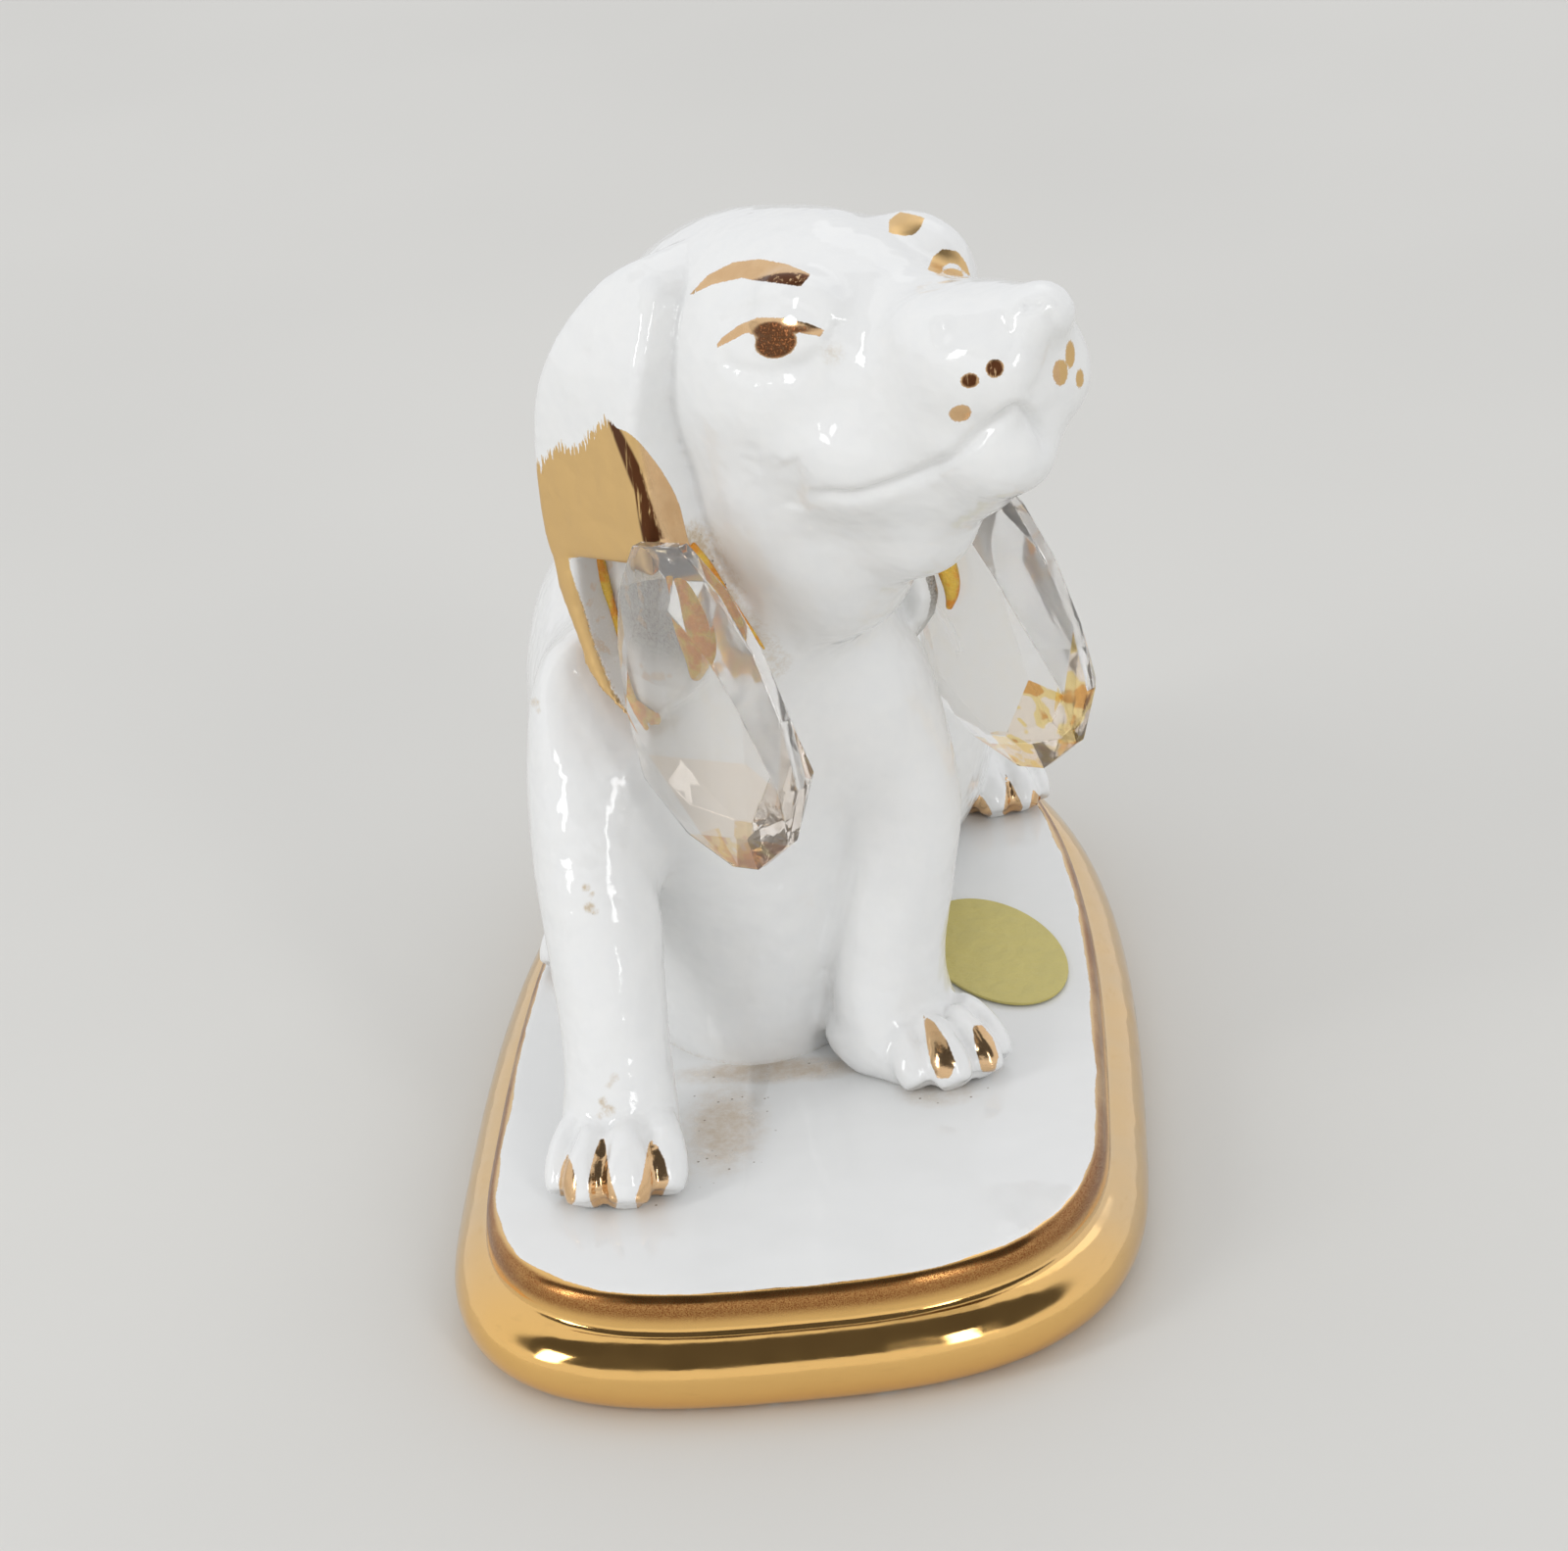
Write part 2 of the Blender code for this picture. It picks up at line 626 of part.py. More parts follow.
def main():
    clear_scene()
    group = collection(COLLECTION)
    tools = collection(CUTTERS)
    mats = {
        "glaze": material("white_glaze", GLAZE, 0.08),
        "gold": material("gold_lustre", GOLD, 0.22, metallic=1.0),
        "crystal": material("clear_crystal", (0.97, 0.97, 0.98), 0.02, transmission=1.0),
        "cement": material("amber_cement", (0.85, 0.55, 0.15), 0.25),
        "paper": material("label_paper", (0.72, 0.64, 0.30), 0.6),
    }
    cutters = {}
    build_plinth(group, mats, tools)
    cutters["torso"] = seam_cutter(build_torso(group, mats, tools), tools)
    build_foreleg("right", RIGHT_FORELEG, Vector((1, 0, 0)), group, mats, tools, cutters)
    build_foreleg("left", LEFT_FORELEG, Vector((0.6, 0.8, 0)), group, mats, tools, cutters)
    for word in ("right", "left"):
        build_hind_leg(word, group, mats, tools, cutters)
    build_tail(group, mats, cutters)
    cutters["head"] = seam_cutter(build_head(group, mats, tools, cutters), tools)
    for word, side in (("right", -1), ("left", 1)):
        cutters["crystal_" + word] = seam_cutter(build_crystal(word, side, group, mats), tools)
        build_ear(word, side, group, mats, tools, cutters)
        build_cement(word, side, group, mats, cutters)
    build_label(group, mats)


main()
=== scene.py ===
"""Porcelain dog figurine: the visible pieces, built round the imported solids.

Every table of sizes is in millimetres and in the frame of the solids: +X is the dog's
left, -Y is the end of the plinth that the forepaws stand at and +Z is up. Head tables
are measured from the point between the eyes: forward, to the dog's left, and up.
"""

import math

import bmesh
import bpy
import numpy as np
from bpy.props import FloatProperty, FloatVectorProperty, PointerProperty
from mathutils import Matrix, Vector


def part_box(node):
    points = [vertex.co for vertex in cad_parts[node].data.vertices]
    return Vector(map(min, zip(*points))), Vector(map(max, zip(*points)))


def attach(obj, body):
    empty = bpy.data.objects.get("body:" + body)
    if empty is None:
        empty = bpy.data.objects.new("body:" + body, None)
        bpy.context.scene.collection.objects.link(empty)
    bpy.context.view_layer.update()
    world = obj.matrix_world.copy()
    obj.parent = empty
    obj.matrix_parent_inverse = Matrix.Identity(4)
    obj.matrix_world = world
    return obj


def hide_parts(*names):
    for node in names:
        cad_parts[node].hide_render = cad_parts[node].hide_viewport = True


bl_info = {
    "name": "Porcelain Dog Figurine",
    "version": (1, 0, 0),
    "blender": (4, 5, 0),
    "location": "View3D > Sidebar > Figurine",
    "description": "Builds a glazed and gilded dog figurine with glass ear drops",
    "category": "Add Mesh",
}

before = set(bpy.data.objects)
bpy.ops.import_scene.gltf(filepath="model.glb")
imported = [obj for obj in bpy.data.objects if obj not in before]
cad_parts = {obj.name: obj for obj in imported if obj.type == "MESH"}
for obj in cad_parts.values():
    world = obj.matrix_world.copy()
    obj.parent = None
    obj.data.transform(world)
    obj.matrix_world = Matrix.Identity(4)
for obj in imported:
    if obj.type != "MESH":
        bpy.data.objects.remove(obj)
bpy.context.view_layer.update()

MM = Matrix.Scale(0.001, 4)
PLINTH_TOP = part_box("plinth")[1].z * 1000

# The face turns to the dog's left; this is the point between its eyes
HEAD_TURN = math.radians(46.5)
FORWARD = Vector((math.sin(HEAD_TURN), -math.cos(HEAD_TURN), 0))
LEFTWARD = Vector((math.cos(HEAD_TURN), math.sin(HEAD_TURN), 0))
UP = Vector((0, 0, 1))
BETWEEN_EYES = Vector((17.7, -26.3, 112.7 + PLINTH_TOP))
# The sides of the head, as signs of the leftward direction
SIDE_WORDS = {-1: "right", 1: "left"}

# The camera: its place in metres, its lens and sensor, and the picture's size in pixels
CAMERA_PLACE = (0.0509, -0.5367, 0.3353)
LENS, SENSOR_WIDTH = 101.25, 36.0
PICTURE_WIDTH, PICTURE_HEIGHT = 1600, 1583
# Its line of sight, which the painted marks are laid out along: degrees round, up and tilted
SIGHT_ROUND, SIGHT_UP, SIGHT_TILT = (math.radians(a) for a in (5.477, 28.0, -6.0))


def sight_axes():
    """The directions that lie rightwards, upwards and towards the viewer."""
    level = math.cos(SIGHT_UP)
    back = Vector((math.sin(SIGHT_ROUND) * level, -math.cos(SIGHT_ROUND) * level, math.sin(SIGHT_UP)))
    right = Vector((math.cos(SIGHT_ROUND), math.sin(SIGHT_ROUND), 0))
    up = back.cross(right)
    tilted_right = right * math.cos(SIGHT_TILT) + up * math.sin(SIGHT_TILT)
    tilted_up = up * math.cos(SIGHT_TILT) - right * math.sin(SIGHT_TILT)
    return tilted_right, tilted_up, back


def on_head(ahead, left, up):
    return BETWEEN_EYES + FORWARD * ahead + LEFTWARD * left + UP * up


# Sizes and colours that a user may change

RGB = {"size": 3, "min": 0, "max": 1, "subtype": "COLOR"}


class PlinthSettings(bpy.types.PropertyGroup):
    roll_height: FloatProperty(
        name="Roll Height",
        description="Height of the half-round roll along the plinth's foot",
        default=0.0108,
        unit="LENGTH",
    )
    gilding: FloatVectorProperty(
        name="Gilding",
        description="Colour of the fired gold on the plinth's rim",
        default=(0.90, 0.55, 0.19),
        **RGB,
    )
    wear: FloatProperty(
        name="Wear",
        description="How much the gold is speckled and worn",
        default=0.92,
        min=0,
        max=1,
        subtype="FACTOR",
    )


class DogSettings(bpy.types.PropertyGroup):
    grain: FloatProperty(
        name="Grain",
        description="Size of the cells that the masses are fused with",
        default=0.00052,
        min=0.0003,
        unit="LENGTH",
    )
    glaze: FloatVectorProperty(
        name="Glaze",
        description="Colour of the glazed porcelain",
        default=(0.80, 0.805, 0.80),
        **RGB,
    )
    gilding: FloatVectorProperty(
        name="Gilding",
        description="Colour of the painted gold",
        default=(0.76, 0.50, 0.27),
        **RGB,
    )


class DropSettings(bpy.types.PropertyGroup):
    glass: FloatVectorProperty(
        name="Glass",
        description="Colour of the cut glass",
        default=(0.99, 0.985, 0.975),
        **RGB,
    )
    table: FloatProperty(
        name="Table",
        description="Share of the drop's width that its flat table takes",
        default=0.74,
        min=0.3,
        max=0.8,
        subtype="FACTOR",
    )
    cement: FloatVectorProperty(
        name="Cement",
        description="Colour of the aged cement",
        default=(0.92, 0.36, 0.03),
        **RGB,
    )


class LabelSettings(bpy.types.PropertyGroup):
    thickness: FloatProperty(
        name="Thickness",
        description="Thickness of the paper label",
        default=0.0004,
        unit="LENGTH",
    )
    paper: FloatVectorProperty(
        name="Paper",
        description="Colour of the paper label",
        default=(0.60, 0.515, 0.17),
        **RGB,
    )


class StageSettings(bpy.types.PropertyGroup):
    sweep: FloatVectorProperty(
        name="Sweep",
        description="Colour of the paper sweep under and behind the figurine",
        default=(0.70, 0.692, 0.662),
        **RGB,
    )
    daylight: FloatProperty(
        name="Daylight",
        description="Strength of the room's own light",
        default=0.86,
        min=0,
    )
    softbox: FloatProperty(
        name="Softbox",
        description="Power of the main softbox",
        default=5.0,
        min=0,
        unit="POWER",
    )


# Mesh helpers


def curve_through(stations, steps):
    """Rows of numbers along a smooth curve through the stations."""
    rows = np.array(stations, float)
    padded = np.vstack([rows[:1], rows, rows[-1:]])
    found = []
    for k in range(len(rows) - 1):
        a, b, c, d = padded[k : k + 4]
        for t in np.arange(steps) / steps:
            bend = (2 * a - 5 * b + 4 * c - d) * t**2 + (3 * b - a - 3 * c + d) * t**3
            found.append(0.5 * (2 * b + (c - a) * t + bend))
    return np.vstack([found, rows[-1:]])


def section(centre, across, ahead, half_width, half_depth):
    """The matrix that puts a unit circle round a centre, square to the way ahead."""
    ahead = ahead.normalized()
    across = (across - ahead * across.dot(ahead)).normalized()
    turn = Matrix((across, ahead.cross(across), ahead)).transposed().to_4x4()
    return Matrix.Translation(centre) @ turn @ Matrix.Diagonal((half_width, half_depth, 1, 1))


def grow(bm, edges):
    """Extrudes a ring of edges and returns the new ring's verts and edges."""
    grown = bmesh.ops.extrude_edge_only(bm, edges=edges)["geom"]
    verts = [item for item in grown if isinstance(item, bmesh.types.BMVert)]
    ring = [item for item in grown if isinstance(item, bmesh.types.BMEdge)]
    return verts, [e for e in ring if e.verts[0] in verts and e.verts[1] in verts]


def sweep(bm, places, sides):
    """Sweeps a round section through a row of places and closes both ends."""
    verts = bmesh.ops.create_circle(
        bm, cap_ends=True, segments=sides, radius=1.0, matrix=places[0]
    )["verts"]
    made = list(verts)
    edges = list({e for v in verts for e in v.link_edges})
    for before, after in zip(places, places[1:]):
        verts, edges = grow(bm, edges)
        bmesh.ops.transform(bm, verts=verts, matrix=after @ before.inverted())
        made += verts
    bmesh.ops.contextual_create(bm, geom=edges)
    return made


def limb(bm, stations, hint, sides=24):
    """A tapering limb through rows of centre x, y, z, half width and half depth."""
    rows = curve_through(stations, 4)
    centres = [Vector(row[:3]) for row in rows]
    places = []
    for k, row in enumerate(rows):
        ahead = centres[min(k + 1, len(rows) - 1)] - centres[max(k - 1, 0)]
        places.append(section(centres[k], hint, ahead, row[3], row[4]))
    return sweep(bm, places, sides)


def round_edges(bm, edges, size, segments):
    bmesh.ops.bevel(
        bm, geom=edges, offset=size, segments=segments, profile=0.5, affect="EDGES", material=-1
    )


def ball(bm, centre, radii, turn=Matrix.Identity(4)):
    place = Matrix.Translation(centre) @ turn @ Matrix.Diagonal((*radii, 1))
    bmesh.ops.create_uvsphere(bm, u_segments=24, v_segments=16, radius=1.0, matrix=place)


def head_turn():
    return Matrix((FORWARD, LEFTWARD, UP)).transposed().to_4x4()


def raw_mesh(bm, name):
    """A mesh from a bmesh, which is freed."""
    mesh = bpy.data.meshes.new(name)
    bm.to_mesh(mesh)
    bm.free()
    return mesh


def as_mesh(bm, name):
    """A mesh in metres from a bmesh in millimetres."""
    bmesh.ops.transform(bm, verts=bm.verts, matrix=MM)
    return raw_mesh(bm, name)


def settle(name, mesh, material, nodes):
    """A finished piece: it rides on the body and stands for its solids."""
    piece = bpy.data.objects.new(name, mesh)
    bpy.context.scene.collection.objects.link(piece)
    mesh.materials.clear()
    mesh.materials.append(material)
    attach(piece, "root")
    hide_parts(*nodes)
    return piece


def baked(mesh, *modifiers, groups=()):
    """A new mesh from a mesh and a row of modifiers: kind and settings."""
    holder = bpy.data.objects.new("holder", mesh)
    bpy.context.scene.collection.objects.link(holder)
    # A mesh that was eased before still has the weights of that
    holder.vertex_groups.clear()
    for name, weights in groups:
        group = holder.vertex_groups.new(name=name)
        for index in np.nonzero(weights > 0.01)[0]:
            group.add([int(index)], float(weights[index]), "REPLACE")
    for kind, settings in modifiers:
        change = holder.modifiers.new(kind, kind)
        for key, value in settings.items():
            setattr(change, key, value)
    evaluated = holder.evaluated_get(bpy.context.evaluated_depsgraph_get())
    result = bpy.data.meshes.new_from_object(evaluated)
    bpy.data.objects.remove(holder)
    return result


def eased(mesh, rounds, weights=None):
    """The mesh smoothed for a number of rounds, where weights say so or all over."""
    settings = {"factor": 0.5, "iterations": rounds}
    if weights is None:
        return baked(mesh, ("SMOOTH", settings))
    return baked(mesh, ("SMOOTH", {**settings, "vertex_group": "ease"}), groups=(("ease", weights),))


def melted(mesh, grain):
    """The overlapping parts of a mesh fused into one skin of small cells."""
    return baked(mesh, ("REMESH", {"mode": "VOXEL", "voxel_size": grain}))


def read_vectors(mesh, key):
    numbers = np.empty(len(mesh.vertices) * 3, np.float32)
    mesh.vertices.foreach_get(key, numbers)
    return numbers.reshape(-1, 3).astype(float)


def put_points(mesh, points):
    mesh.vertices.foreach_set("co", points.astype(np.float32).ravel())
    mesh.update()


def add_field(mesh, name, values):
    field = mesh.attributes.new(name, "FLOAT", "POINT")
    field.data.foreach_set("value", np.asarray(values, np.float32))


def rise(values, low, high):
    """A smooth rise from 0 to 1 between two values."""
    t = np.clip((values - low) / (high - low), 0, 1)
    return t * t * (3 - 2 * t)


def in_head(points):
    """Points as forward, left and up from between the eyes."""
    return (points - np.array(BETWEEN_EYES)) @ np.array((FORWARD, LEFTWARD, UP)).T


def toward_viewer(normals):
    """How far each normal points towards the viewer, from -1 to 1."""
    return normals @ np.array(sight_axes()[2])


def seen(points):
    """Points as the viewer sees them, right and up from between the eyes."""
    return (points - np.array(BETWEEN_EYES)) @ np.array(sight_axes()[:2]).T


def through_lens(points):
    """Points as the camera sees them, in pixels right and down from the picture's corner."""
    right, up, back = (np.array(axis) for axis in sight_axes())
    away = points - 1000 * np.array(CAMERA_PLACE)
    scale = LENS / SENSOR_WIDTH * PICTURE_WIDTH / -(away @ back)
    column = PICTURE_WIDTH / 2 + scale * (away @ right)
    return np.column_stack((column, PICTURE_HEIGHT / 2 - scale * (away @ up)))


def distance_to_path(points, path):
    """Least distance from each point to a bent line, and how far along it that lies."""
    path = np.array(path, float)
    best = np.full(len(points), 1e9)
    share = np.zeros(len(points))
    lengths = np.linalg.norm(np.diff(path, axis=0), axis=1)
    done = 0.0
    for a, b, length in zip(path, path[1:], lengths):
        t = np.clip((points - a) @ (b - a) / length**2, 0, 1)
        away = np.linalg.norm(points - (a + t[:, None] * (b - a)), axis=1)
        closer = away < best
        best[closer] = away[closer]
        share[closer] = (done + t[closer] * length) / lengths.sum()
        done += length
    return best, share


def distance_to_outline(points, outline):
    """Distance from each flat point to a closed outline, negative inside it."""
    corners = np.array(outline, float)
    away, _ = distance_to_path(points, np.vstack([corners, corners[:1]]))
    inside = np.zeros(len(points), bool)
    for a, b in zip(corners, np.roll(corners, -1, axis=0)):
        spans = (a[1] > points[:, 1]) != (b[1] > points[:, 1])
        with np.errstate(divide="ignore", invalid="ignore"):
            crossing = a[0] + (points[:, 1] - a[1]) * (b[0] - a[0]) / (b[1] - a[1])
        inside ^= spans & (points[:, 0] < crossing)
    return np.where(inside, -away, away)


# Materials


class Value:
    """A socket of a material, with the arithmetic of shader maths."""

    def __init__(self, recipe, socket):
        self.recipe = recipe
        self.socket = socket

    def maths(self, operation, first, second=0.0):
        return self.recipe.node("ShaderNodeMath", {"operation": operation}, {0: first, 1: second})

    def __add__(self, other):
        return self.maths("ADD", self, other)

    __radd__ = __add__

    def __sub__(self, other):
        return self.maths("SUBTRACT", self, other)

    def __rsub__(self, other):
        return self.maths("SUBTRACT", other, self)

    def __mul__(self, other):
        return self.maths("MULTIPLY", self, other)

    __rmul__ = __mul__

    def __truediv__(self, other):
        return self.maths("DIVIDE", self, other)

    def __pow__(self, other):
        return self.maths("POWER", self, other)

    def __abs__(self):
        return self.maths("ABSOLUTE", self)

    def least(self, other):
        return self.maths("MINIMUM", self, other)

    def most(self, other):
        return self.maths("MAXIMUM", self, other)

    def output(self, name):
        """Another output of the node that this value comes from."""
        return Value(self.recipe, self.socket.node.outputs[name])

    def rise(self, low, high):
        """A smooth rise from 0 to 1 between two values."""
        settings = {"interpolation_type": "SMOOTHSTEP"}
        return self.recipe.node("ShaderNodeMapRange", settings, {0: self, 1: low, 2: high})


class Recipe:
    """The nodes of one material or world."""

    def __init__(self, name, kind="materials"):
        self.owner = getattr(bpy.data, kind).new(name)
        self.owner.use_nodes = True
        self.tree = self.owner.node_tree
        self.tree.nodes.clear()

    def node(self, kind, settings, inputs, output=0):
        """Adds a node, sets it, fills its sockets and gives one of its outputs, if any."""
        made = self.tree.nodes.new(kind)
        for key, value in settings.items():
            setattr(made, key, value)
        for key, value in inputs.items():
            if isinstance(value, Value):
                self.tree.links.new(value.socket, made.inputs[key])
            else:
                made.inputs[key].default_value = value
        return Value(self, made.outputs[output]) if made.outputs else None

    def place(self):
        """Object coordinates in millimetres."""
        metres = self.node("ShaderNodeTexCoord", {}, {}, "Object")
        return self.node("ShaderNodeVectorMath", {"operation": "SCALE"}, {0: metres, 3: 1000.0})

    def field(self, name):
        return self.node("ShaderNodeAttribute", {"attribute_name": name}, {}, "Fac")

    def stretched(self, place, amounts):
        return self.node("ShaderNodeVectorMath", {"operation": "MULTIPLY"}, {0: place, 1: amounts})

    def noise(self, place, scale, detail=3.0, rough=0.5):
        values = {"Vector": place, "Scale": scale, "Detail": detail, "Roughness": rough}
        return self.node("ShaderNodeTexNoise", {}, values)

    def specks(self, place, scale):
        """Distance from the nearest of many scattered points."""
        return self.node("ShaderNodeTexVoronoi", {}, {"Vector": place, "Scale": scale})

    def mix(self, factor, one, other):
        """A colour between two colours."""
        return self.node("ShaderNodeMix", {"data_type": "RGBA"}, {0: factor, 6: one, 7: other}, 2)

    def bump(self, height, depth, normal=None):
        values = {"Height": height, "Distance": depth, "Strength": 1.0}
        if normal:
            values["Normal"] = normal
        return self.node("ShaderNodeBump", {}, values)

    def surface(self, **values):
        inputs = {key.replace("_", " ").title().replace("Ior", "IOR"): v for key, v in values.items()}
        return self.node("ShaderNodeBsdfPrincipled", {}, inputs)

    def finish(self, shader, kind="Material"):
        self.node("ShaderNodeOutput" + kind, {}, {"Surface": shader})
        return self.owner


# Dog: forms

# Torso as level slices: height over the plinth, centre x and y, half width, half depth
TORSO = (
    (-1.5, -6.6, 25.0, 23.0, 47.0), (0.0, -6.6, 25.0, 23.4, 47.5), (14.0, -5.5, 25.5, 28.0, 49.0),
    (29.0, -7.2, 20.0, 28.8, 46.0), (44.0, -8.3, 11.5, 27.7, 40.5), (56.0, -8.3, 3.5, 25.0, 32.0),
    (66.0, -2.0, -6.0, 20.0, 22.5), (74.0, 4.5, -12.5, 16.3, 17.5), (82.0, 7.4, -16.5, 15.4, 17.0),
    (90.0, 10.0, -19.0, 17.4, 17.6), (97.0, 11.0, -20.0, 15.0, 15.0),
)
# How the trunk narrows to its rear: the spine's x, from which y, over what length, and by how much
SPINE, TAPER_START, TAPER_LENGTH, TAPER = -7.0, 18.0, 50.0, 0.36
# Legs and feet: x, y, height over the plinth, half width, half depth
RIGHT_FORELEG = (
    (-20.5, -11.0, 60.0, 6.0, 8.0), (-22.0, -14.0, 56.0, 10.0, 11.0),
    (-23.7, -23.5, 42.0, 9.6, 11.0), (-23.5, -32.5, 28.0, 8.0, 8.5), (-22.8, -39.0, 15.0, 7.3, 7.6),
    (-22.8, -43.5, 6.5, 8.0, 6.8), (-23.2, -47.5, 2.4, 8.6, 5.2), (-23.2, -51.5, 0.4, 7.0, 3.4),
    (-23.2, -53.0, -0.4, 4.0, 1.5),
)
LEFT_FORELEG = (
    (9.5, -3.0, 52.0, 6.0, 8.0), (12.0, -7.0, 48.0, 9.2, 11.2), (15.4, -12.0, 37.0, 9.0, 9.5),
    (14.9, -16.0, 26.0, 8.4, 7.8), (12.9, -18.0, 15.0, 8.4, 7.6), (13.2, -20.0, 7.5, 9.4, 7.0),
    (16.2, -22.6, 3.4, 8.8, 5.6), (19.4, -24.8, 1.0, 7.8, 4.0), (20.2, -25.6, -0.4, 4.0, 1.5),
)
# The heel of the left forepaw lies along the plinth
LEFT_HEEL = (
    (4.6, -21.6, 2.4, 1.8, 2.0), (6.6, -22.0, 3.6, 5.4, 4.6), (11.0, -22.4, 3.8, 7.4, 5.4),
    (17.0, -23.6, 2.6, 8.0, 4.8), (21.5, -24.6, 1.0, 6.0, 3.0),
)
RIGHT_HIND_FOOT = (
    (-26.5, 38.5, 6.0, 3.0, 3.5), (-26.8, 35.0, 5.5, 5.8, 6.6), (-29.0, 22.0, 4.0, 6.2, 6.2),
    (-31.0, 11.5, 2.0, 6.6, 5.4), (-31.8, 7.5, 0.0, 5.4, 3.6), (-32.0, 6.2, -0.4, 3.0, 1.5),
)
LEFT_HIND_FOOT = (
    (19.5, 69.0, 6.0, 3.0, 3.5), (20.0, 66.0, 5.5, 5.8, 6.6), (23.5, 58.0, 4.5, 6.5, 6.2),
    (26.0, 52.0, 2.5, 6.8, 5.6), (26.9, 48.8, 0.0, 5.8, 3.8), (27.2, 47.6, -0.4, 3.0, 1.5),
)
TAIL = (
    (-4.0, 63.0, 8.0, 5.0, 5.0), (-9.0, 68.0, 6.0, 5.5, 5.5), (-18.0, 67.5, 4.2, 5.2, 5.0),
    (-25.5, 59.0, 3.6, 4.6, 4.4), (-28.5, 50.0, 3.0, 3.6, 3.6), (-28.5, 44.0, 2.6, 1.5, 1.5),
)
# The limbs, and the way that the half width of each is laid
LIMBS = (
    (RIGHT_FORELEG, (1, 0, 0)), (LEFT_FORELEG, (0.6, 0.8, 0)), (LEFT_HEEL, (-0.3, 1, 0)),
    (RIGHT_HIND_FOOT, (1, 0, 0)), (LEFT_HIND_FOOT, (1, 0, 0)), (TAIL, (0, 0, 1)),
)
# Haunches: centre, half sizes, turn about +Z in degrees
HAUNCHES = (
    ((-24.8, 33.0, 20.0), (11.2, 22.5, 21.0), 8),
    ((16.5, 43.0, 19.0), (10.5, 22.5, 20.0), -8),
)
# Paws: middle of the toe tips, the way they point, which side their thumb lies, and size
PAWS = (
    ((-23.2, -50.0), (0.0, -1.0), 1, 1.0), ((20.0, -25.5), (0.42, -0.9), -1, 0.90),
    ((-31.8, 8.5), (-0.12, -1.0), 1, 0.75), ((26.9, 49.4), (0.18, -1.0), -1, 0.8),
)
# Toes of a paw: sideways at the tip and at the knuckle, how far ahead the tip is, half width
TOES = ((-7.2, -5.2, 4.6, 2.5), (-3.8, -2.9, 7.6, 3.0), (1.9, 2.0, 8.2, 3.7), (6.7, 6.2, 5.6, 3.0))
# A toe from its knuckle to its tip: back from the tip, height, share of the half width
TOE_SHAPE = ((10.6, 7.6, 0.5), (7.4, 6.8, 0.86), (4.4, 5.2, 1.06), (1.9, 3.3, 1.06), (0.2, 1.7, 0.8))
# Gaps between the toes: sideways at the tip and at the knuckle, how far ahead the tip is
TOE_GAPS = ((-6.0, -5.0, 5.4), (-1.3, -0.9, 8.6), (4.9, 4.7, 6.8))
# Skull and muzzle: forward, centre height, half width, half height
HEAD = (
    (-42.0, -15.0, 5.0, 6.0), (-38.5, -14.5, 13.0, 13.0), (-29.0, -12.5, 16.5, 18.0),
    (-18.0, -11.3, 18.0, 20.0), (-7.0, -10.0, 17.8, 20.2), (2.0, -9.2, 15.8, 18.0),
    (10.0, -8.5, 12.6, 14.6), (19.0, -6.6, 10.4, 14.0), (26.2, -3.8, 9.0, 12.6),
    (30.4, -1.2, 7.0, 9.5), (32.5, -0.2, 4.0, 4.5),
)
# Flesh laid over the main forms: centre and half sizes
FLESH = (
    ((-12.0, -6.5, 68.0), (18.0, 16.0, 17.0)), ((8.0, -8.0, 64.0), (14.5, 15.5, 17.0)),
    ((10.5, -20.0, 93.0), (12.5, 14.0, 13.0)), ((-22.0, 4.0, 50.0), (13.5, 20.0, 24.0)),
    ((-16.5, 9.0, 64.0), (19.0, 21.0, 22.5)),
)
# Flesh on the head: forward, to the left, up, and half sizes
HEAD_FLESH = (
    ((20.9, -4.8, -0.8), (13.2, 6.5, 8.6)), ((21.2, 4.6, -3.4), (12.8, 6.5, 9.8)),
    ((31.4, 0.0, 6.2), (4.6, 5.0, 4.4)), ((23.6, -2.2, -11.6), (9.6, 7.4, 7.8)),
    ((2.0, -7.0, -15.0), (15.0, 9.5, 11.0)), ((2.0, 7.0, -15.0), (15.0, 9.5, 11.0)),
    ((10.0, 0.0, -16.0), (16.5, 9.0, 10.8)), ((5.6, 0.0, -26.0), (10.8, 8.8, 10.4)),
    ((-8.0, -2.6, -32.0), (12.8, 12.5, 13.0)), ((-0.5, -9.6, 0.2), (9.0, 5.8, 7.8)),
    ((0.5, 9.6, 1.0), (9.4, 6.0, 8.2)),
)
# Ear outline in the head's side view: forward, height from the eyes
EAR = (
    (-23.5, 6.0), (-18.5, 3.5), (-17.0, -5.0), (-17.5, -16.0), (-14.5, -32.0), (-10.0, -42.0),
    (-16.0, -51.0), (-25.0, -57.0), (-31.8, -51.0), (-36.5, -40.0), (-38.8, -28.5), (-38.0, -15.0),
    (-34.0, -4.5), (-28.5, 3.0),
)
# The rim that runs down behind the drop
EAR_RIM = (
    (-32.4, -26.0), (-32.6, -36.0), (-32.4, -41.0), (-30.6, -47.0), (-28.0, -52.6), (-24.6, -56.6),
    (-31.8, -51.0), (-36.5, -40.0), (-38.6, -26.0),
)
EAR_TOP, EAR_TIP, EAR_SHOULDER = 6.0, -57.0, -14.0
# Lower edge of an ear's thick part, from the rim forward
EAR_STEP_LINE = ((-39.0, -35.5), (-31.5, -34.4), (-25.0, -33.2), (-21.0, -32.5), (-8.0, -32.5))
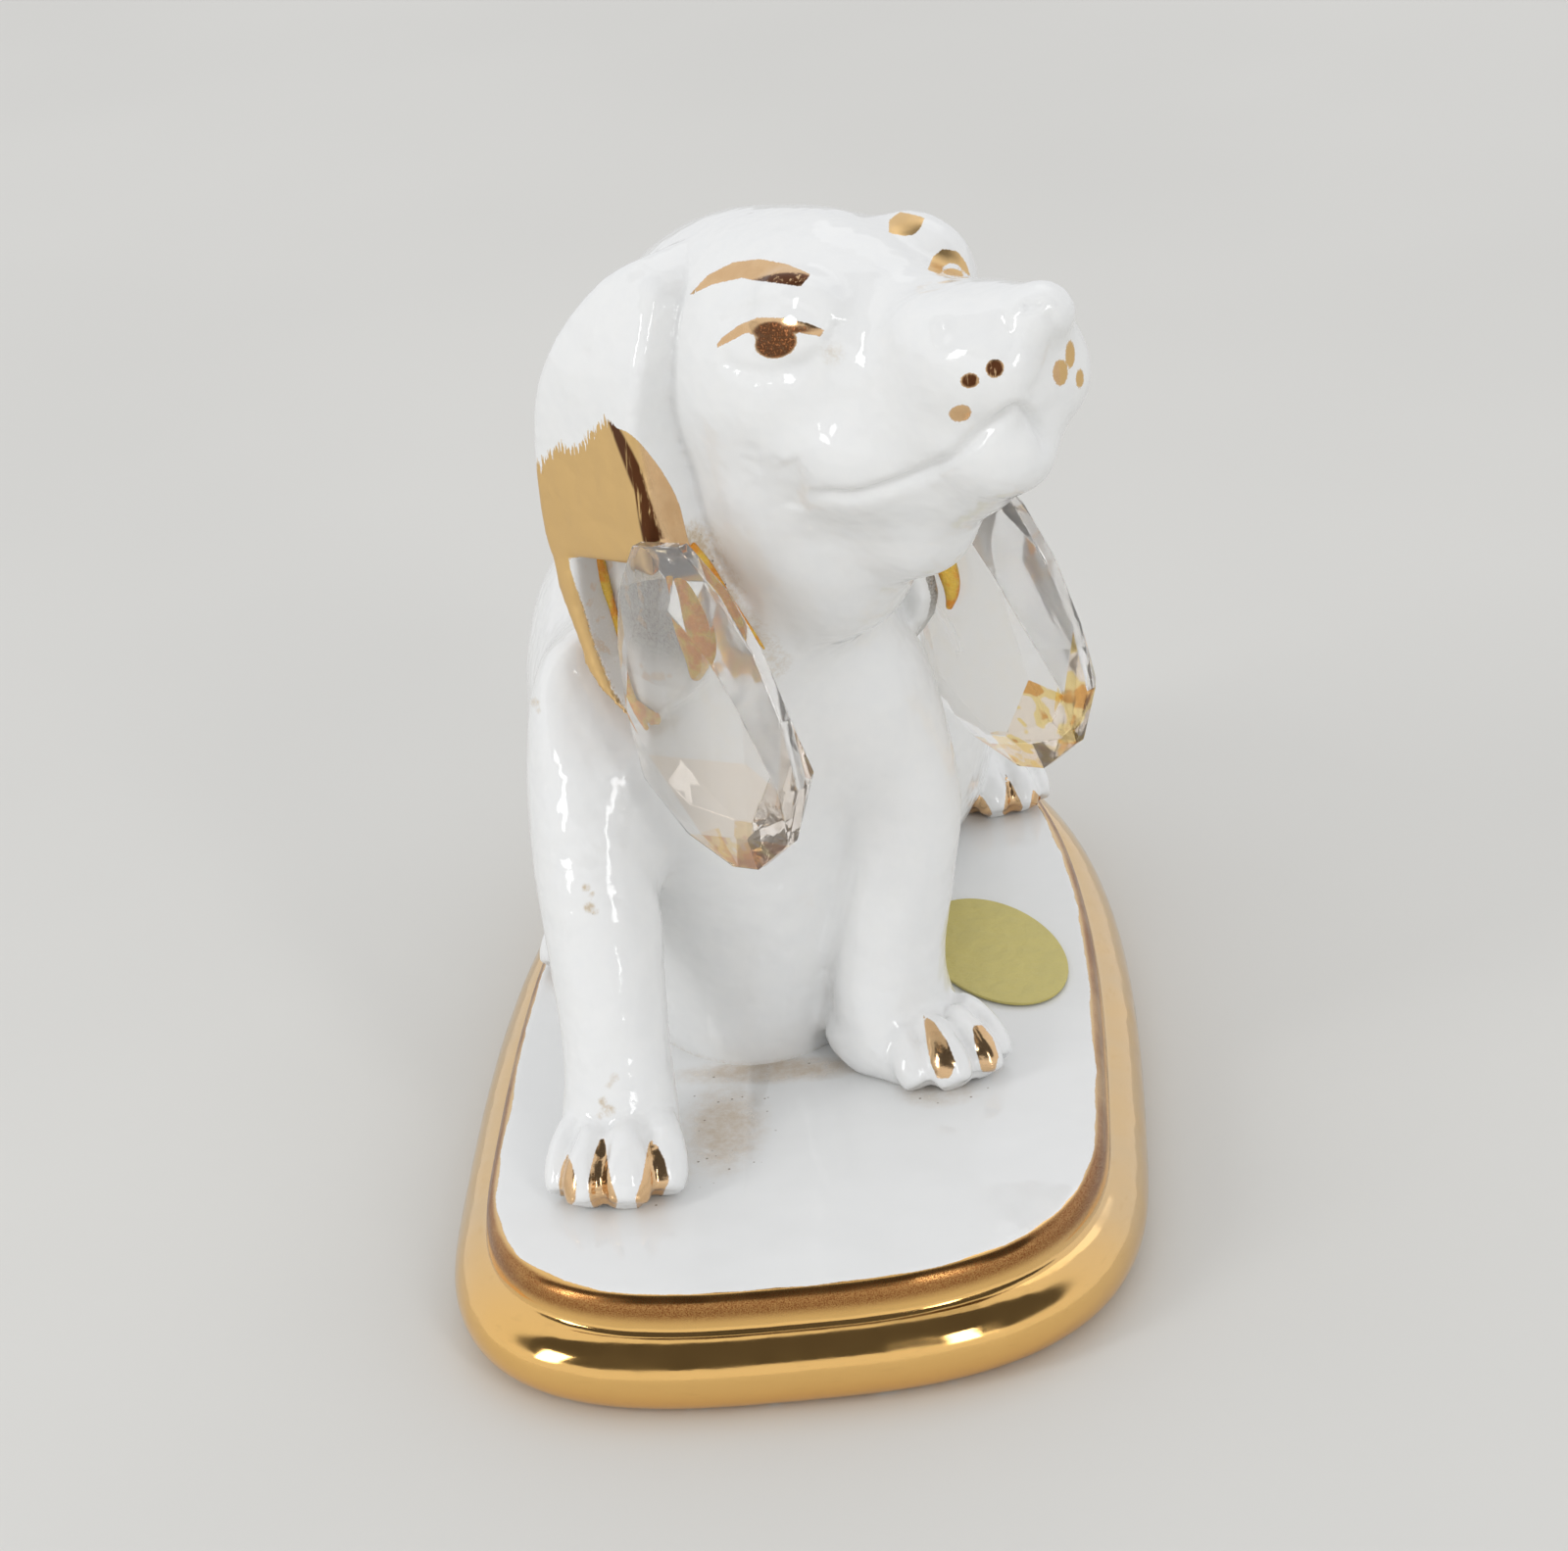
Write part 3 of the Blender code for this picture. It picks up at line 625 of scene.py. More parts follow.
# The corners of that edge, which follow the last point ahead of and below these two numbers
EAR_STEP_CORNERS = [(-14.6, -32.5), (-21.0, -32.5), (-31.5, -34.4), (-37.6, -35.4)]
EAR_FRONT_FROM, EAR_FRONT_TO = -26.0, -20.0
# How far out an ear's inner face stands, how much further at its tip, and how far in at its top
EAR_INNER, EAR_SPLAY, EAR_LEAN_IN = 15.5, 1.5, 7.5
# How far the plates of an ear reach in and out, and how their edges are rounded
EAR_SUNK, EAR_THICKNESS, TONGUE_THICKNESS = -1.5, 8.5, 2.4
EAR_ROUNDING, RIM_ROUNDING, TONGUE_ROUNDING = 1.6, 1.2, 0.8
# Heights at which a plate is cut across, so that it can bend in
EAR_BENDS = (-14.0, -10.0, -7.0, -4.0, -1.5, 1.0, 3.0)
# How much lower each ear hangs than the table of its outline says
EAR_DROP = {-1: 0.0, 1: 8.5}
# Furrows in the face as the viewer sees them, right and up of the eyes, then depth and reach
FACE_FURROWS = (
    (
        (
            (-7.2, -22.6), (-6.4, -23.8), (-4.2, -24.2), (-1.0, -24.4), (2.3, -23.6), (5.6, -22.4),
            (10.0, -20.6), (13.4, -18.0), (16.1, -16.3), (18.3, -15.1), (20.4, -16.4),
            (21.7, -18.4), (22.0, -20.6),
        ),
        0.95, 0.75,
    ),
    (((-17.6, -7.0), (-15.0, -8.6), (-11.0, -9.3), (-7.0, -8.4), (-4.6, -6.4)), 0.4, 1.0),
    (((-17.8, -2.6), (-15.0, -1.3), (-11.6, -1.0), (-7.6, -2.0), (-4.4, -4.0)), 0.35, 0.9),
    (((-4.6, -6.2), (-3.4, -5.2), (-3.0, -3.4)), 0.45, 0.8),
    (((-9.2, -19.6), (-8.2, -22.4), (-8.6, -25.6)), 0.5, 1.5),
    (((21.4, -3.4), (22.6, -6.6), (21.6, -11.0), (19.4, -14.0)), 0.5, 0.9),
    (((8.0, -6.0), (11.0, -5.6), (14.6, -5.4), (17.6, -4.6)), 0.5, 1.6),
    (((18.6, -3.2), (19.8, -2.8), (20.6, -3.4)), 0.5, 0.6),
)
# The mouth's far side, in the head: forward, left, up
FAR_MOUTH = ((29.6, 1.6, -13.2), (23.0, 8.4, -14.0), (14.0, 13.0, -16.0), (6.5, 15.0, -17.0))
# Furrows where the legs leave the chest: x, y, height over the plinth, depth and reach
BODY_FURROWS = (
    (
        ((-18.6, -31.6, 45.5), (-15.6, -31.0, 35.0), (-15.4, -24.0, 20.0), (-15.6, -22.6, 3.0)),
        0.7, 2.2,
    ),
    (((10.4, -20.6, 38.0), (8.0, -20.6, 24.0), (6.4, -20.0, 12.0), (6.2, -20.0, 3.0)), 0.7, 2.0),
    (((-30.5, 2.0, 60.0), (-31.8, 12.0, 40.0), (-33.8, 17.0, 24.0), (-33.0, 12.0, 10.0)), 0.6, 3.0),
    (((-33.4, -6.0, 40.0), (-33.6, -12.0, 26.0), (-29.6, -20.0, 12.0)), 0.6, 3.0),
)


def ear_side(height):
    """How far out an ear's inner face stands at a height."""
    splay = EAR_SPLAY * (EAR_TOP - height) / (EAR_TOP - EAR_TIP)
    over = max(0.0, (height - EAR_SHOULDER) / (EAR_TOP - EAR_SHOULDER))
    return EAR_INNER + splay - EAR_LEAN_IN * over**2


def ear_plate(bm, side, outline, low, high, rounding):
    """A rounded plate on an ear, from one depth to another, bent in over the skull."""
    plate = bmesh.new()
    rim = [plate.verts.new((ahead, low, height - EAR_DROP[side])) for ahead, height in outline]
    sheet = bmesh.ops.extrude_face_region(plate, geom=[plate.faces.new(rim)])
    far = [item for item in sheet["geom"] if isinstance(item, bmesh.types.BMVert)]
    bmesh.ops.translate(plate, verts=far, vec=(0, high - low, 0))
    flat = [e for e in plate.edges if abs(e.verts[0].co.y - e.verts[1].co.y) < 1e-6]
    round_edges(plate, flat, rounding, 4)
    for height in EAR_BENDS:
        everything = plate.verts[:] + plate.edges[:] + plate.faces[:]
        bmesh.ops.bisect_plane(plate, geom=everything, plane_co=(0, 0, height), plane_no=(0, 0, 1))
    for vert in plate.verts:
        ahead, depth, height = vert.co
        vert.co = on_head(ahead, side * (ear_side(height) + depth), height)
    bmesh.ops.recalc_face_normals(plate, faces=plate.faces)
    gather(bm, plate)


def gather(bm, part):
    """Adds one bmesh to another."""
    mesh = raw_mesh(part, "part")
    bm.from_mesh(mesh)
    bpy.data.meshes.remove(mesh)


def soft_masses():
    """The trunk, limbs, head and flesh as overlapping masses."""
    bm = bmesh.new()
    places = []
    for height, x, y, half_width, half_depth in curve_through(TORSO, 4):
        centre = Vector((x, y, PLINTH_TOP + height))
        places.append(section(centre, Vector((1, 0, 0)), UP, half_width, half_depth))
    for vert in sweep(bm, places, 48):
        back = min(1.0, max(0.0, (vert.co.y - TAPER_START) / TAPER_LENGTH))
        vert.co.x = SPINE + (vert.co.x - SPINE) * (1 - TAPER * back)
    for stations, across in LIMBS:
        raised = [(x, y, PLINTH_TOP + z, wide, deep) for x, y, z, wide, deep in stations]
        limb(bm, raised, Vector(across))
    for (x, y, z), radii, turn in HAUNCHES:
        ball(bm, (x, y, PLINTH_TOP + z), radii, Matrix.Rotation(math.radians(turn), 4, "Z"))
    places = [
        section(on_head(f, 0, z), LEFTWARD, FORWARD, half_width, half_height)
        for f, z, half_width, half_height in curve_through(HEAD, 4)
    ]
    sweep(bm, places, 40)
    for (x, y, z), radii in FLESH:
        ball(bm, (x, y, z), radii)
    for centre, radii in HEAD_FLESH:
        ball(bm, on_head(*centre), radii, head_turn())
    bmesh.ops.recalc_face_normals(bm, faces=bm.faces)
    return bm


def paw_frame(paw):
    """A paw's middle, and the directions to its thumb side and ahead."""
    (x, y), (ahead_x, ahead_y), thumb, size = paw
    ahead = Vector((ahead_x, ahead_y, 0)).normalized()
    sideways = Vector((-ahead.y, ahead.x, 0)) * thumb
    return Vector((x, y, PLINTH_TOP)), sideways, ahead, size


def add_toes(bm):
    for paw in PAWS:
        middle, sideways, ahead, size = paw_frame(paw)
        for tip, knuckle, reach, half_width in TOES:
            stations = []
            for back, height, share in TOE_SHAPE:
                across = tip + (knuckle - tip) * back / TOE_SHAPE[0][0]
                centre = middle + (sideways * across + ahead * (reach - back) + UP * height) * size
                thick = half_width * share * size
                stations.append((*centre, thick, thick))
            limb(bm, stations, sideways)


def step_height(ahead):
    """Height of the lower edge of an ear's thick part."""
    return np.interp(ahead, *np.array(EAR_STEP_LINE).T)


def add_ears(bm):
    """Each ear as three plates: the thin tongue, the thick upper part and the rim."""
    outline = [tuple(row) for row in curve_through(EAR + EAR[:1], 3)[:-1]]
    upper = [point for point in outline if point[1] > step_height(point[0])]
    front = max(
        k for k, (ahead, height) in enumerate(upper)
        if ahead > EAR_FRONT_FROM and height < EAR_FRONT_TO
    )
    upper[front + 1:front + 1] = EAR_STEP_CORNERS
    plates = (
        (outline, TONGUE_THICKNESS, TONGUE_ROUNDING),
        (upper, EAR_THICKNESS, EAR_ROUNDING),
        (EAR_RIM, EAR_THICKNESS - 0.1, RIM_ROUNDING),
    )
    for side in (-1, 1):
        for shape, thickness, rounding in plates:
            ear_plate(bm, side, shape, EAR_SUNK, thickness, rounding)


# Where the flesh is eased most, with soft ends: heights of the neck, and forward of the muzzle
NECK_FROM, NECK_TO, MUZZLE_FROM = (46.0, 62.0), (106.0, 118.0), (4.0, 13.0)
MUZZLE_EASE, LEAST_EASE = 0.42, 0.06
# The heights on an ear between which the flesh behind it is pressed in
PRESSED_FROM, PRESSED_TO = -72.0, -22.0
# The heights at which the ear's inner face is measured for it
FACE_HEIGHTS = (-90.0, -14.0)
# How far in of that face the flesh stays, and how it comes out again away from the outline
PRESSED_IN, PRESSED_SLOPE, PRESSED_CURVE = 0.8, 1.3, 0.3
# How far out it may stand higher up, and the heights between which it comes out
FREE_OUT, FREE_FROM = 12.0, (-34.0, -24.0)


def flesh_weights(points):
    """How far the masses are eased into one another: most round the neck and shoulders."""
    height = points[:, 2]
    neck = rise(height, *NECK_FROM) * (1 - rise(height, *NECK_TO))
    muzzle = MUZZLE_EASE * rise(in_head(points)[:, 0], *MUZZLE_FROM)
    return np.maximum(np.maximum(neck, muzzle), LEAST_EASE)


def pressed_by_ears(points):
    """The flesh pressed in behind the ears' lower halves, so that the rims stand free."""
    local = in_head(points)
    for side in (-1, 1):
        height = local[:, 2] + EAR_DROP[side]
        face = np.interp(height, FACE_HEIGHTS, [ear_side(h) for h in FACE_HEIGHTS])
        out = side * local[:, 1]
        near = np.nonzero((out > face - 1.0) & (height < PRESSED_TO) & (height > PRESSED_FROM))[0]
        outline = np.column_stack((local[near, 0], height[near]))
        away = np.clip(distance_to_outline(outline, EAR), 0, None)
        limit = face[near] - PRESSED_IN + PRESSED_SLOPE * away + PRESSED_CURVE * away**2
        limit = limit + FREE_OUT * rise(height[near], *FREE_FROM)
        local[near, 1] = side * np.minimum(out[near], limit)
    return np.array(BETWEEN_EYES) + local @ np.array((FORWARD, LEFTWARD, UP))


# Cell of the first melting of the masses, and rounds of easing: of the melted masses as a whole,
# where they meet, there again once the ears have pressed the flesh in, and of the fused skin
FIRST_GRAIN = 0.85
EASE_ALL, EASE_FLESH, EASE_PRESSED, EASE_SKIN = 6, 110, 26, 4


def fused_skin(grain):
    """The soft masses eased together, then fused with the ears and the toes."""
    flesh = eased(melted(raw_mesh(soft_masses(), "masses"), FIRST_GRAIN), EASE_ALL)
    weights = flesh_weights(read_vectors(flesh, "co"))
    flesh = eased(flesh, EASE_FLESH, weights)
    put_points(flesh, pressed_by_ears(read_vectors(flesh, "co")))
    flesh = eased(flesh, EASE_PRESSED, weights)
    bm = bmesh.new()
    bm.from_mesh(flesh)
    add_toes(bm)
    add_ears(bm)
    return eased(melted(raw_mesh(bm, "fused"), grain), EASE_SKIN)


# The far side of the mouth is this deep and wide
FAR_MOUTH_DEEP, FAR_MOUTH_REACH = 0.8, 1.2
# A gap between two toes from its tip: back from the tip and height; its depth and reach
GAP_SHAPE = ((0.0, 0.5), (1.0, 3.6), (3.4, 6.8), (6.6, 10.4), (10.0, 14.6))
GAP_LENGTH, GAP_DEEP, GAP_REACH = 11, 1.0, 1.25
# Shares of a furrow's length over which it fades in and out
FACE_FADES = (-0.02, 0.12), (0.88, 1.02)
MOUTH_FADES = (-0.2, 0.0), (0.8, 1.0)
BODY_FADES = (-0.02, 0.35), (1.0, 1.4)
GAP_FADES = (-1.0, -0.5), (0.3, 0.95)
# Stand for a place where no furrow is, and for a distance from marks that are nowhere near
NOWHERE, FAR_OFF = 999.0, 9.0


def sink(points, depth, path, deep, reach, fades):
    """Deepens a furrow along a path, where points lie near it."""
    path = curve_through(path, 4)
    low, high = path.min(axis=0) - 3 * reach, path.max(axis=0) + 3 * reach
    near = np.nonzero(((points > low) & (points < high)).all(axis=1))[0]
    away, share = distance_to_path(points[near], path)
    fade = rise(share, *fades[0]) * (1 - rise(share, *fades[1]))
    depth[near] = np.maximum(depth[near], deep * fade * np.exp(-((away / reach) ** 2)))


def carve(mesh):
    """Sinks the mouth, the lids, the leg creases and the gaps between the toes."""
    points = read_vectors(mesh, "co")
    normals = read_vectors(mesh, "normal")
    local = in_head(points)
    depth = np.zeros(len(points))
    facing = (toward_viewer(normals) > 0) & (local[:, 0] > -20) & (local[:, 2] > -30)
    flat = np.where(facing[:, None], seen(points), NOWHERE)
    for path, deep, reach in FACE_FURROWS:
        sink(flat, depth, path, deep, reach, FACE_FADES)
    sink(local, depth, FAR_MOUTH, FAR_MOUTH_DEEP, FAR_MOUTH_REACH, MOUTH_FADES)
    for path, deep, reach in BODY_FURROWS:
        high_path = [(x, y, PLINTH_TOP + z) for x, y, z in path]
        sink(points, depth, high_path, deep, reach, BODY_FADES)
    for paw in PAWS:
        middle, sideways, ahead, size = paw_frame(paw)
        for tip, knuckle, reach in TOE_GAPS:
            path = []
            for back, height in GAP_SHAPE:
                across = tip + (knuckle - tip) * back / GAP_LENGTH
                place = sideways * across + ahead * (reach - back) + UP * height
                path.append(middle + place * size)
            sink(points, depth, path, GAP_DEEP * size, GAP_REACH * size, GAP_FADES)
    put_points(mesh, points - normals * depth[:, None])


# Dog: painted marks, in millimetres right and up from between the eyes as the viewer sees them

BROW = (
    (-21.6, 1.2), (-19.1, 3.7), (-15.9, 5.1), (-12.5, 5.2), (-9.2, 4.2), (-6.3, 2.5), (-7.6, 0.9),
    (-11.1, 1.7), (-14.8, 2.9), (-18.6, 2.4),
)
LID = (
    (-18.4, -5.9), (-17.2, -4.4), (-14.9, -3.0), (-12.9, -2.5), (-9.6, -2.9), (-6.6, -3.7),
    (-4.7, -4.5), (-5.0, -5.3), (-7.0, -4.9), (-9.6, -4.3), (-12.0, -4.2), (-14.4, -4.2),
    (-16.2, -5.0),
)
# Ovals: right, up, half width, half height. The iris, what joins it to the lid, where the lid's
# gold is as brown as the iris, and where the brow's gold mirrors something dark
IRIS = (-10.6, -5.7, 2.6, 1.85)
UNDER_LID = (-11.4, -4.1, 2.2, 1.0)
LID_SHADE = (-9.4, -4.35, 4.2, 0.55)
BROW_SHADE = (-9.8, 1.9, 4.6, 1.1)
# Whisker dots: right, up, half width, half height, and whether the gold mirrors something dark
WHISKERS = (
    (12.5, -11.7, 1.13, 0.87, 1), (15.4, -10.4, 1.1, 1.1, 1), (11.5, -15.3, 1.3, 0.92, 0),
    (23.5, -10.4, 0.94, 1.5, 0), (24.7, -8.2, 0.6, 1.6, 0), (26.0, -10.9, 0.5, 1.1, 0),
)
# Upper edge of the gold on the ears: forward, height from the eyes
BRUSH_LINE = (
    (-45.0, -26.0), (-37.8, -22.6), (-34.9, -20.6), (-32.9, -18.4), (-30.2, -18.6), (-27.0, -16.2),
    (-25.2, -14.3), (-21.8, -12.0), (-18.9, -13.3), (-17.4, -17.2), (-16.4, -21.6), (-15.2, -27.3),
    (-8.0, -34.0),
)
# Half width and height of the gold drop between each pair of toes of a hind paw
TOE_DROPS = ((1.4, 5.4), (2.0, 7.4), (2.1, 6.4))
# Shares of such a drop's height, and of its half width there
TOE_DROP_SHARES = ((0.0, 0.1, 0.3, 0.55, 0.8, 1.0), (0.55, 0.85, 1.0, 0.8, 0.45, 0.0))
# How far from a paw's middle its gold may lie, and where on the toes
PAW_GOLD, TOE_GOLD_LOW, TOE_GOLD_AHEAD, TOE_GOLD_BACK = 16, 0.3, 13, 9.0
# A pixel of the picture at the forepaws, in millimetres
PIXEL = 1 / 8.9
# Outlines of the gold on the forepaws, in pixels right and down from the picture's corner
FOREPAW_DROPS = (
    (
        (
            (579, 1178), (573, 1191), (570, 1209), (573, 1227), (581, 1234), (587, 1225),
            (588, 1207), (584, 1189),
        ),
        (
            (615, 1158), (608, 1173), (603, 1191), (600, 1209), (602, 1225), (609, 1240),
            (627, 1240), (630, 1225), (624, 1207), (620, 1187), (618, 1169),
        ),
        (
            (663, 1162), (659, 1182), (655, 1204), (648, 1224), (652, 1238), (666, 1236),
            (676, 1220), (683, 1204), (678, 1184), (671, 1170),
        ),
    ),
    (
        (
            (942, 1036), (946, 1066), (950, 1086), (957, 1101), (970, 1100), (975, 1084),
            (966, 1062), (953, 1043),
        ),
        (
            (992, 1047), (996, 1072), (1002, 1094), (1015, 1094), (1019, 1078), (1013, 1059),
            (1002, 1046),
        ),
    ),
)


# Dark streak that the near ear's front edge mirrors, right and up
EAR_STREAK = (
    (-32.0, -13.6), (-31.0, -16.4), (-29.8, -19.6), (-28.6, -22.7), (-28.0, -26.7), (-27.4, -29.8),
    (-25.6, -29.2), (-24.6, -28.7), (-25.6, -26.0), (-26.7, -22.9), (-27.4, -20.2), (-28.7, -17.6),
    (-30.4, -14.6),
)
# What shows of the far brow, and of the far eye's lid and its golden iris, right and up
FAR_BROW = ((4.9, 11.8), (7.9, 10.7), (7.3, 9.2), (6.5, 8.4), (5.3, 8.2), (3.4, 8.6), (3.5, 10.6))
FAR_LID = (
    (8.0, 3.4), (8.8, 5.4), (10.0, 6.5), (11.9, 6.3), (13.0, 4.9), (13.6, 3.0), (12.5, 3.9),
    (11.9, 4.6), (10.9, 4.7), (10.0, 4.1), (9.6, 2.6),
)
FAR_IRIS = (11.3, 3.2, 1.3, 0.8)
# How far forward and up the outer marks of the far side stand from mirror images of the near ones
FAR_EYE_SHIFT, FAR_BROW_SHIFT = (5.0, 0.6), (-3.6, -1.0)


def ellipse_distance(flat, right, up, half_width, half_height):
    """About how far outside an ellipse each flat point lies."""
    across = (flat[:, 0] - right) / half_width
    along = (flat[:, 1] - up) / half_height
    return (np.hypot(across, along) - 1) * min(half_width, half_height)


def mirrored(points, shift):
    """Where points of the far side lie on the near side, less a shift forward and up."""
    opposite = points - 2 * in_head(points)[:, 1:2] * np.array(LEFTWARD)
    return opposite - np.array(FORWARD * shift[0] + UP * shift[1])


def paint_eye(points, normals, side):
    """Distances to the brow and eye of one side: all the gold, its brown and its painted dark reflection.
    """
    local = in_head(points)
    near = (side * local[:, 1] > 1.5) & (local[:, 2] > -12)
    at_eye, at_brow, toward = points, points, normals
    if side > 0:
        at_eye, at_brow = mirrored(points, FAR_EYE_SHIFT), mirrored(points, FAR_BROW_SHIFT)
        leftward = np.array(LEFTWARD)
        toward = normals - 2 * (normals @ leftward)[:, None] * leftward
        near &= toward_viewer(normals) < -0.05
    near &= toward_viewer(toward) > -0.1
    flat_eye, flat_brow = seen(at_eye), seen(at_brow)
    eye = np.minimum(ellipse_distance(flat_eye, *IRIS), ellipse_distance(flat_eye, *UNDER_LID))
    brow = np.minimum(distance_to_outline(flat_brow, BROW), distance_to_outline(flat_eye, LID))
    brown = np.minimum(eye, ellipse_distance(flat_eye, *LID_SHADE))
    found = np.minimum(brow, eye), brown, ellipse_distance(flat_brow, *BROW_SHADE)
    return [np.where(near, distances, FAR_OFF) for distances in found]


def paint_face(points, normals):
    """Distances to the gold, to its brown parts and to what mirrors something dark."""
    facing = toward_viewer(normals)
    local = in_head(points)
    gold, iris, dark = np.minimum(*(paint_eye(points, normals, side) for side in (-1, 1)))
    flat = seen(points)
    far = (local[:, 1] > 1.0) & (facing > -0.15) & (local[:, 2] > -4)
    marks = np.minimum(distance_to_outline(flat, FAR_BROW), distance_to_outline(flat, FAR_LID))
    marks = np.minimum(marks, ellipse_distance(flat, *FAR_IRIS))
    gold = np.minimum(gold, np.where(far, marks, FAR_OFF))
    on_ear = (local[:, 1] < -14) & (local[:, 0] < -8) & (facing > 0)
    dark = np.minimum(dark, np.where(on_ear, distance_to_outline(flat, EAR_STREAK), FAR_OFF))
    muzzle = (facing > -0.1) & (local[:, 0] > 18)
    for *oval, mirrors_dark in WHISKERS:
        dot = np.where(muzzle, ellipse_distance(flat, *oval), FAR_OFF)
        gold = np.minimum(gold, dot)
        # Some dots get a painted dark reflection
        if mirrors_dark:
            dark = np.minimum(dark, dot)
    return np.minimum(gold, FAR_OFF), np.minimum(iris, FAR_OFF), np.minimum(dark, FAR_OFF)


def rounded_most(one, other, radius):
    """The larger of two distances, with the corner between them rounded."""
    return np.maximum(one, other) + np.clip(radius - np.abs(one - other), 0, None) ** 2 / (4 * radius)


# Heights on an ear at which its inner face is measured for its marks
SIDE_HEIGHTS = np.linspace(-70, 20, 181)
# The rim's inner edge: height, and forward from the eyes
RIM_HEIGHTS, RIM_INSIDE = (-56.6, -52.6, -47.0, -41.0, -36.0), (-24.6, -28.0, -30.6, -32.4, -33.2)
# The ears' front edge, where the gold runs up: forward, and how far up it starts
FRONT_EDGE, FRONT_GOLD, FRONT_SLOPE = (-22.5, -20.5), -13.0, 1.6
# Where the ears' inner face is left white, and how much more of it at the front edge, low down
BARE_INSIDE, BARE_FRONT, BARE_LOW = 1.2, 1.9, (-36.0, -33.0)
GOLD_CORNER = 4.0


def paint_ears(points):
    """Distances to the ears' gold and bare seats, and where gold is satin, brushed or washed."""
    local = in_head(points)
    ahead, height = local[:, 0], local[:, 2] + np.where(local[:, 1] > 0, EAR_DROP[1], EAR_DROP[-1])
    side = np.interp(height, SIDE_HEIGHTS, [ear_side(h) for h in SIDE_HEIGHTS])
    depth = np.abs(local[:, 1]) - side
    from_outline = distance_to_outline(np.column_stack((ahead, height)), EAR)
    on_ear = (from_outline < 1.4) & (depth < EAR_THICKNESS + 1.2) & (depth > -1.0)

    front = rise(ahead, *FRONT_EDGE)
    line = np.interp(ahead, *np.array(BRUSH_LINE).T)
    line = line + front * (FRONT_GOLD - FRONT_SLOPE * (EAR_THICKNESS - depth) - line)
    bare = BARE_INSIDE + BARE_FRONT * front * rise(height, *BARE_LOW)
    gold = np.where(on_ear, rounded_most(height - line, bare - depth, GOLD_CORNER), FAR_OFF)
    inside_rim = np.interp(height, RIM_HEIGHTS, RIM_INSIDE)
    recess = np.maximum(height - step_height(ahead) - 0.1, inside_rim - 0.1 - ahead)
    gold = np.maximum(gold, -recess)

    seat = np.maximum(np.maximum(recess, depth - 7.4), np.maximum(0.5 - depth, -49.0 - height))
    seat = np.where(on_ear, seat, FAR_OFF)
    satin = rise(depth, EAR_THICKNESS - 1.6, EAR_THICKNESS - 0.5) * on_ear
    brushed = on_ear * rise(-ahead, 20.5, 23.0) * rise(height, -31.0, -26.0)
    washed = on_ear * np.maximum(1 - rise(ahead, -27.6, -25.4), 1 - rise(height, -48.0, -42.0))
    return gold, seat, satin, brushed, washed


def paint_paws(points, normals):
    """Distance to the gold drops between the toes."""
    gold = np.full(len(points), FAR_OFF)
    facing = toward_viewer(normals) > -0.15
    for k, paw in enumerate(PAWS):
        middle, sideways, ahead, size = paw_frame(paw)
        from_paw = (points - np.array(middle)) / size
        close = np.linalg.norm(from_paw, axis=1) < PAW_GOLD
        if k < len(FOREPAW_DROPS):
            near = np.nonzero(close & facing)[0]
            pixels = through_lens(points[near])
            for outline in FOREPAW_DROPS[k]:
                gold[near] = np.minimum(gold[near], distance_to_outline(pixels, outline) * PIXEL)
            continue
        near = np.nonzero(close)[0]
        across = from_paw[near] @ np.array(sideways)
        along = from_paw[near] @ np.array(ahead)
        height = from_paw[near, 2]
        for (tip, knuckle, reach), (half_width, top) in zip(TOE_GAPS, TOE_DROPS):
            middle_line = tip + (knuckle - tip) * np.clip(height / 9.0, 0, 1)
            width = half_width * np.interp(height / top, *TOE_DROP_SHARES)
            drop = np.maximum(np.abs(across - middle_line) - width, height - top)
            on_toes = (along > reach - TOE_GOLD_BACK) & (along < TOE_GOLD_AHEAD)
            drop = np.where((height > TOE_GOLD_LOW) & on_toes, drop, FAR_OFF)
            gold[near] = np.minimum(gold[near], drop * size)
    return gold


# Stains on the glaze: place and spread in pixels of the picture, and strength
STAINS = (
    (598, 906, 5, 0.9), (604, 913, 4, 0.8), (601, 926, 6, 1.0), (607, 931, 4, 0.8),
    (627, 1100, 6, 0.7), (622, 1108, 5, 0.6), (615, 1124, 6, 0.8), (621, 1133, 8, 0.8),
    (613, 1138, 5, 0.7), (546, 717, 6, 0.7), (549, 726, 4, 0.6),
)
# Stains in the head's own directions: at the near eye's corner, and down the cheek by the ear
EYE_STAIN = (7.6, -12.8, -0.4)
CHEEK_STAIN = (
    (-14.9, -19.0, -30.0), (-13.4, -18.0, -34.5), (-10.7, -17.0, -40.7),
    (-10.6, -11.3, -49.1),
)
# How satin the gold of the far eye is
FAR_EYE_SATIN = 0.8
# How strong the grime is at the dog's foot and at the eye's corner
FOOT_GRIME, EYE_GRIME = 0.45, 0.5


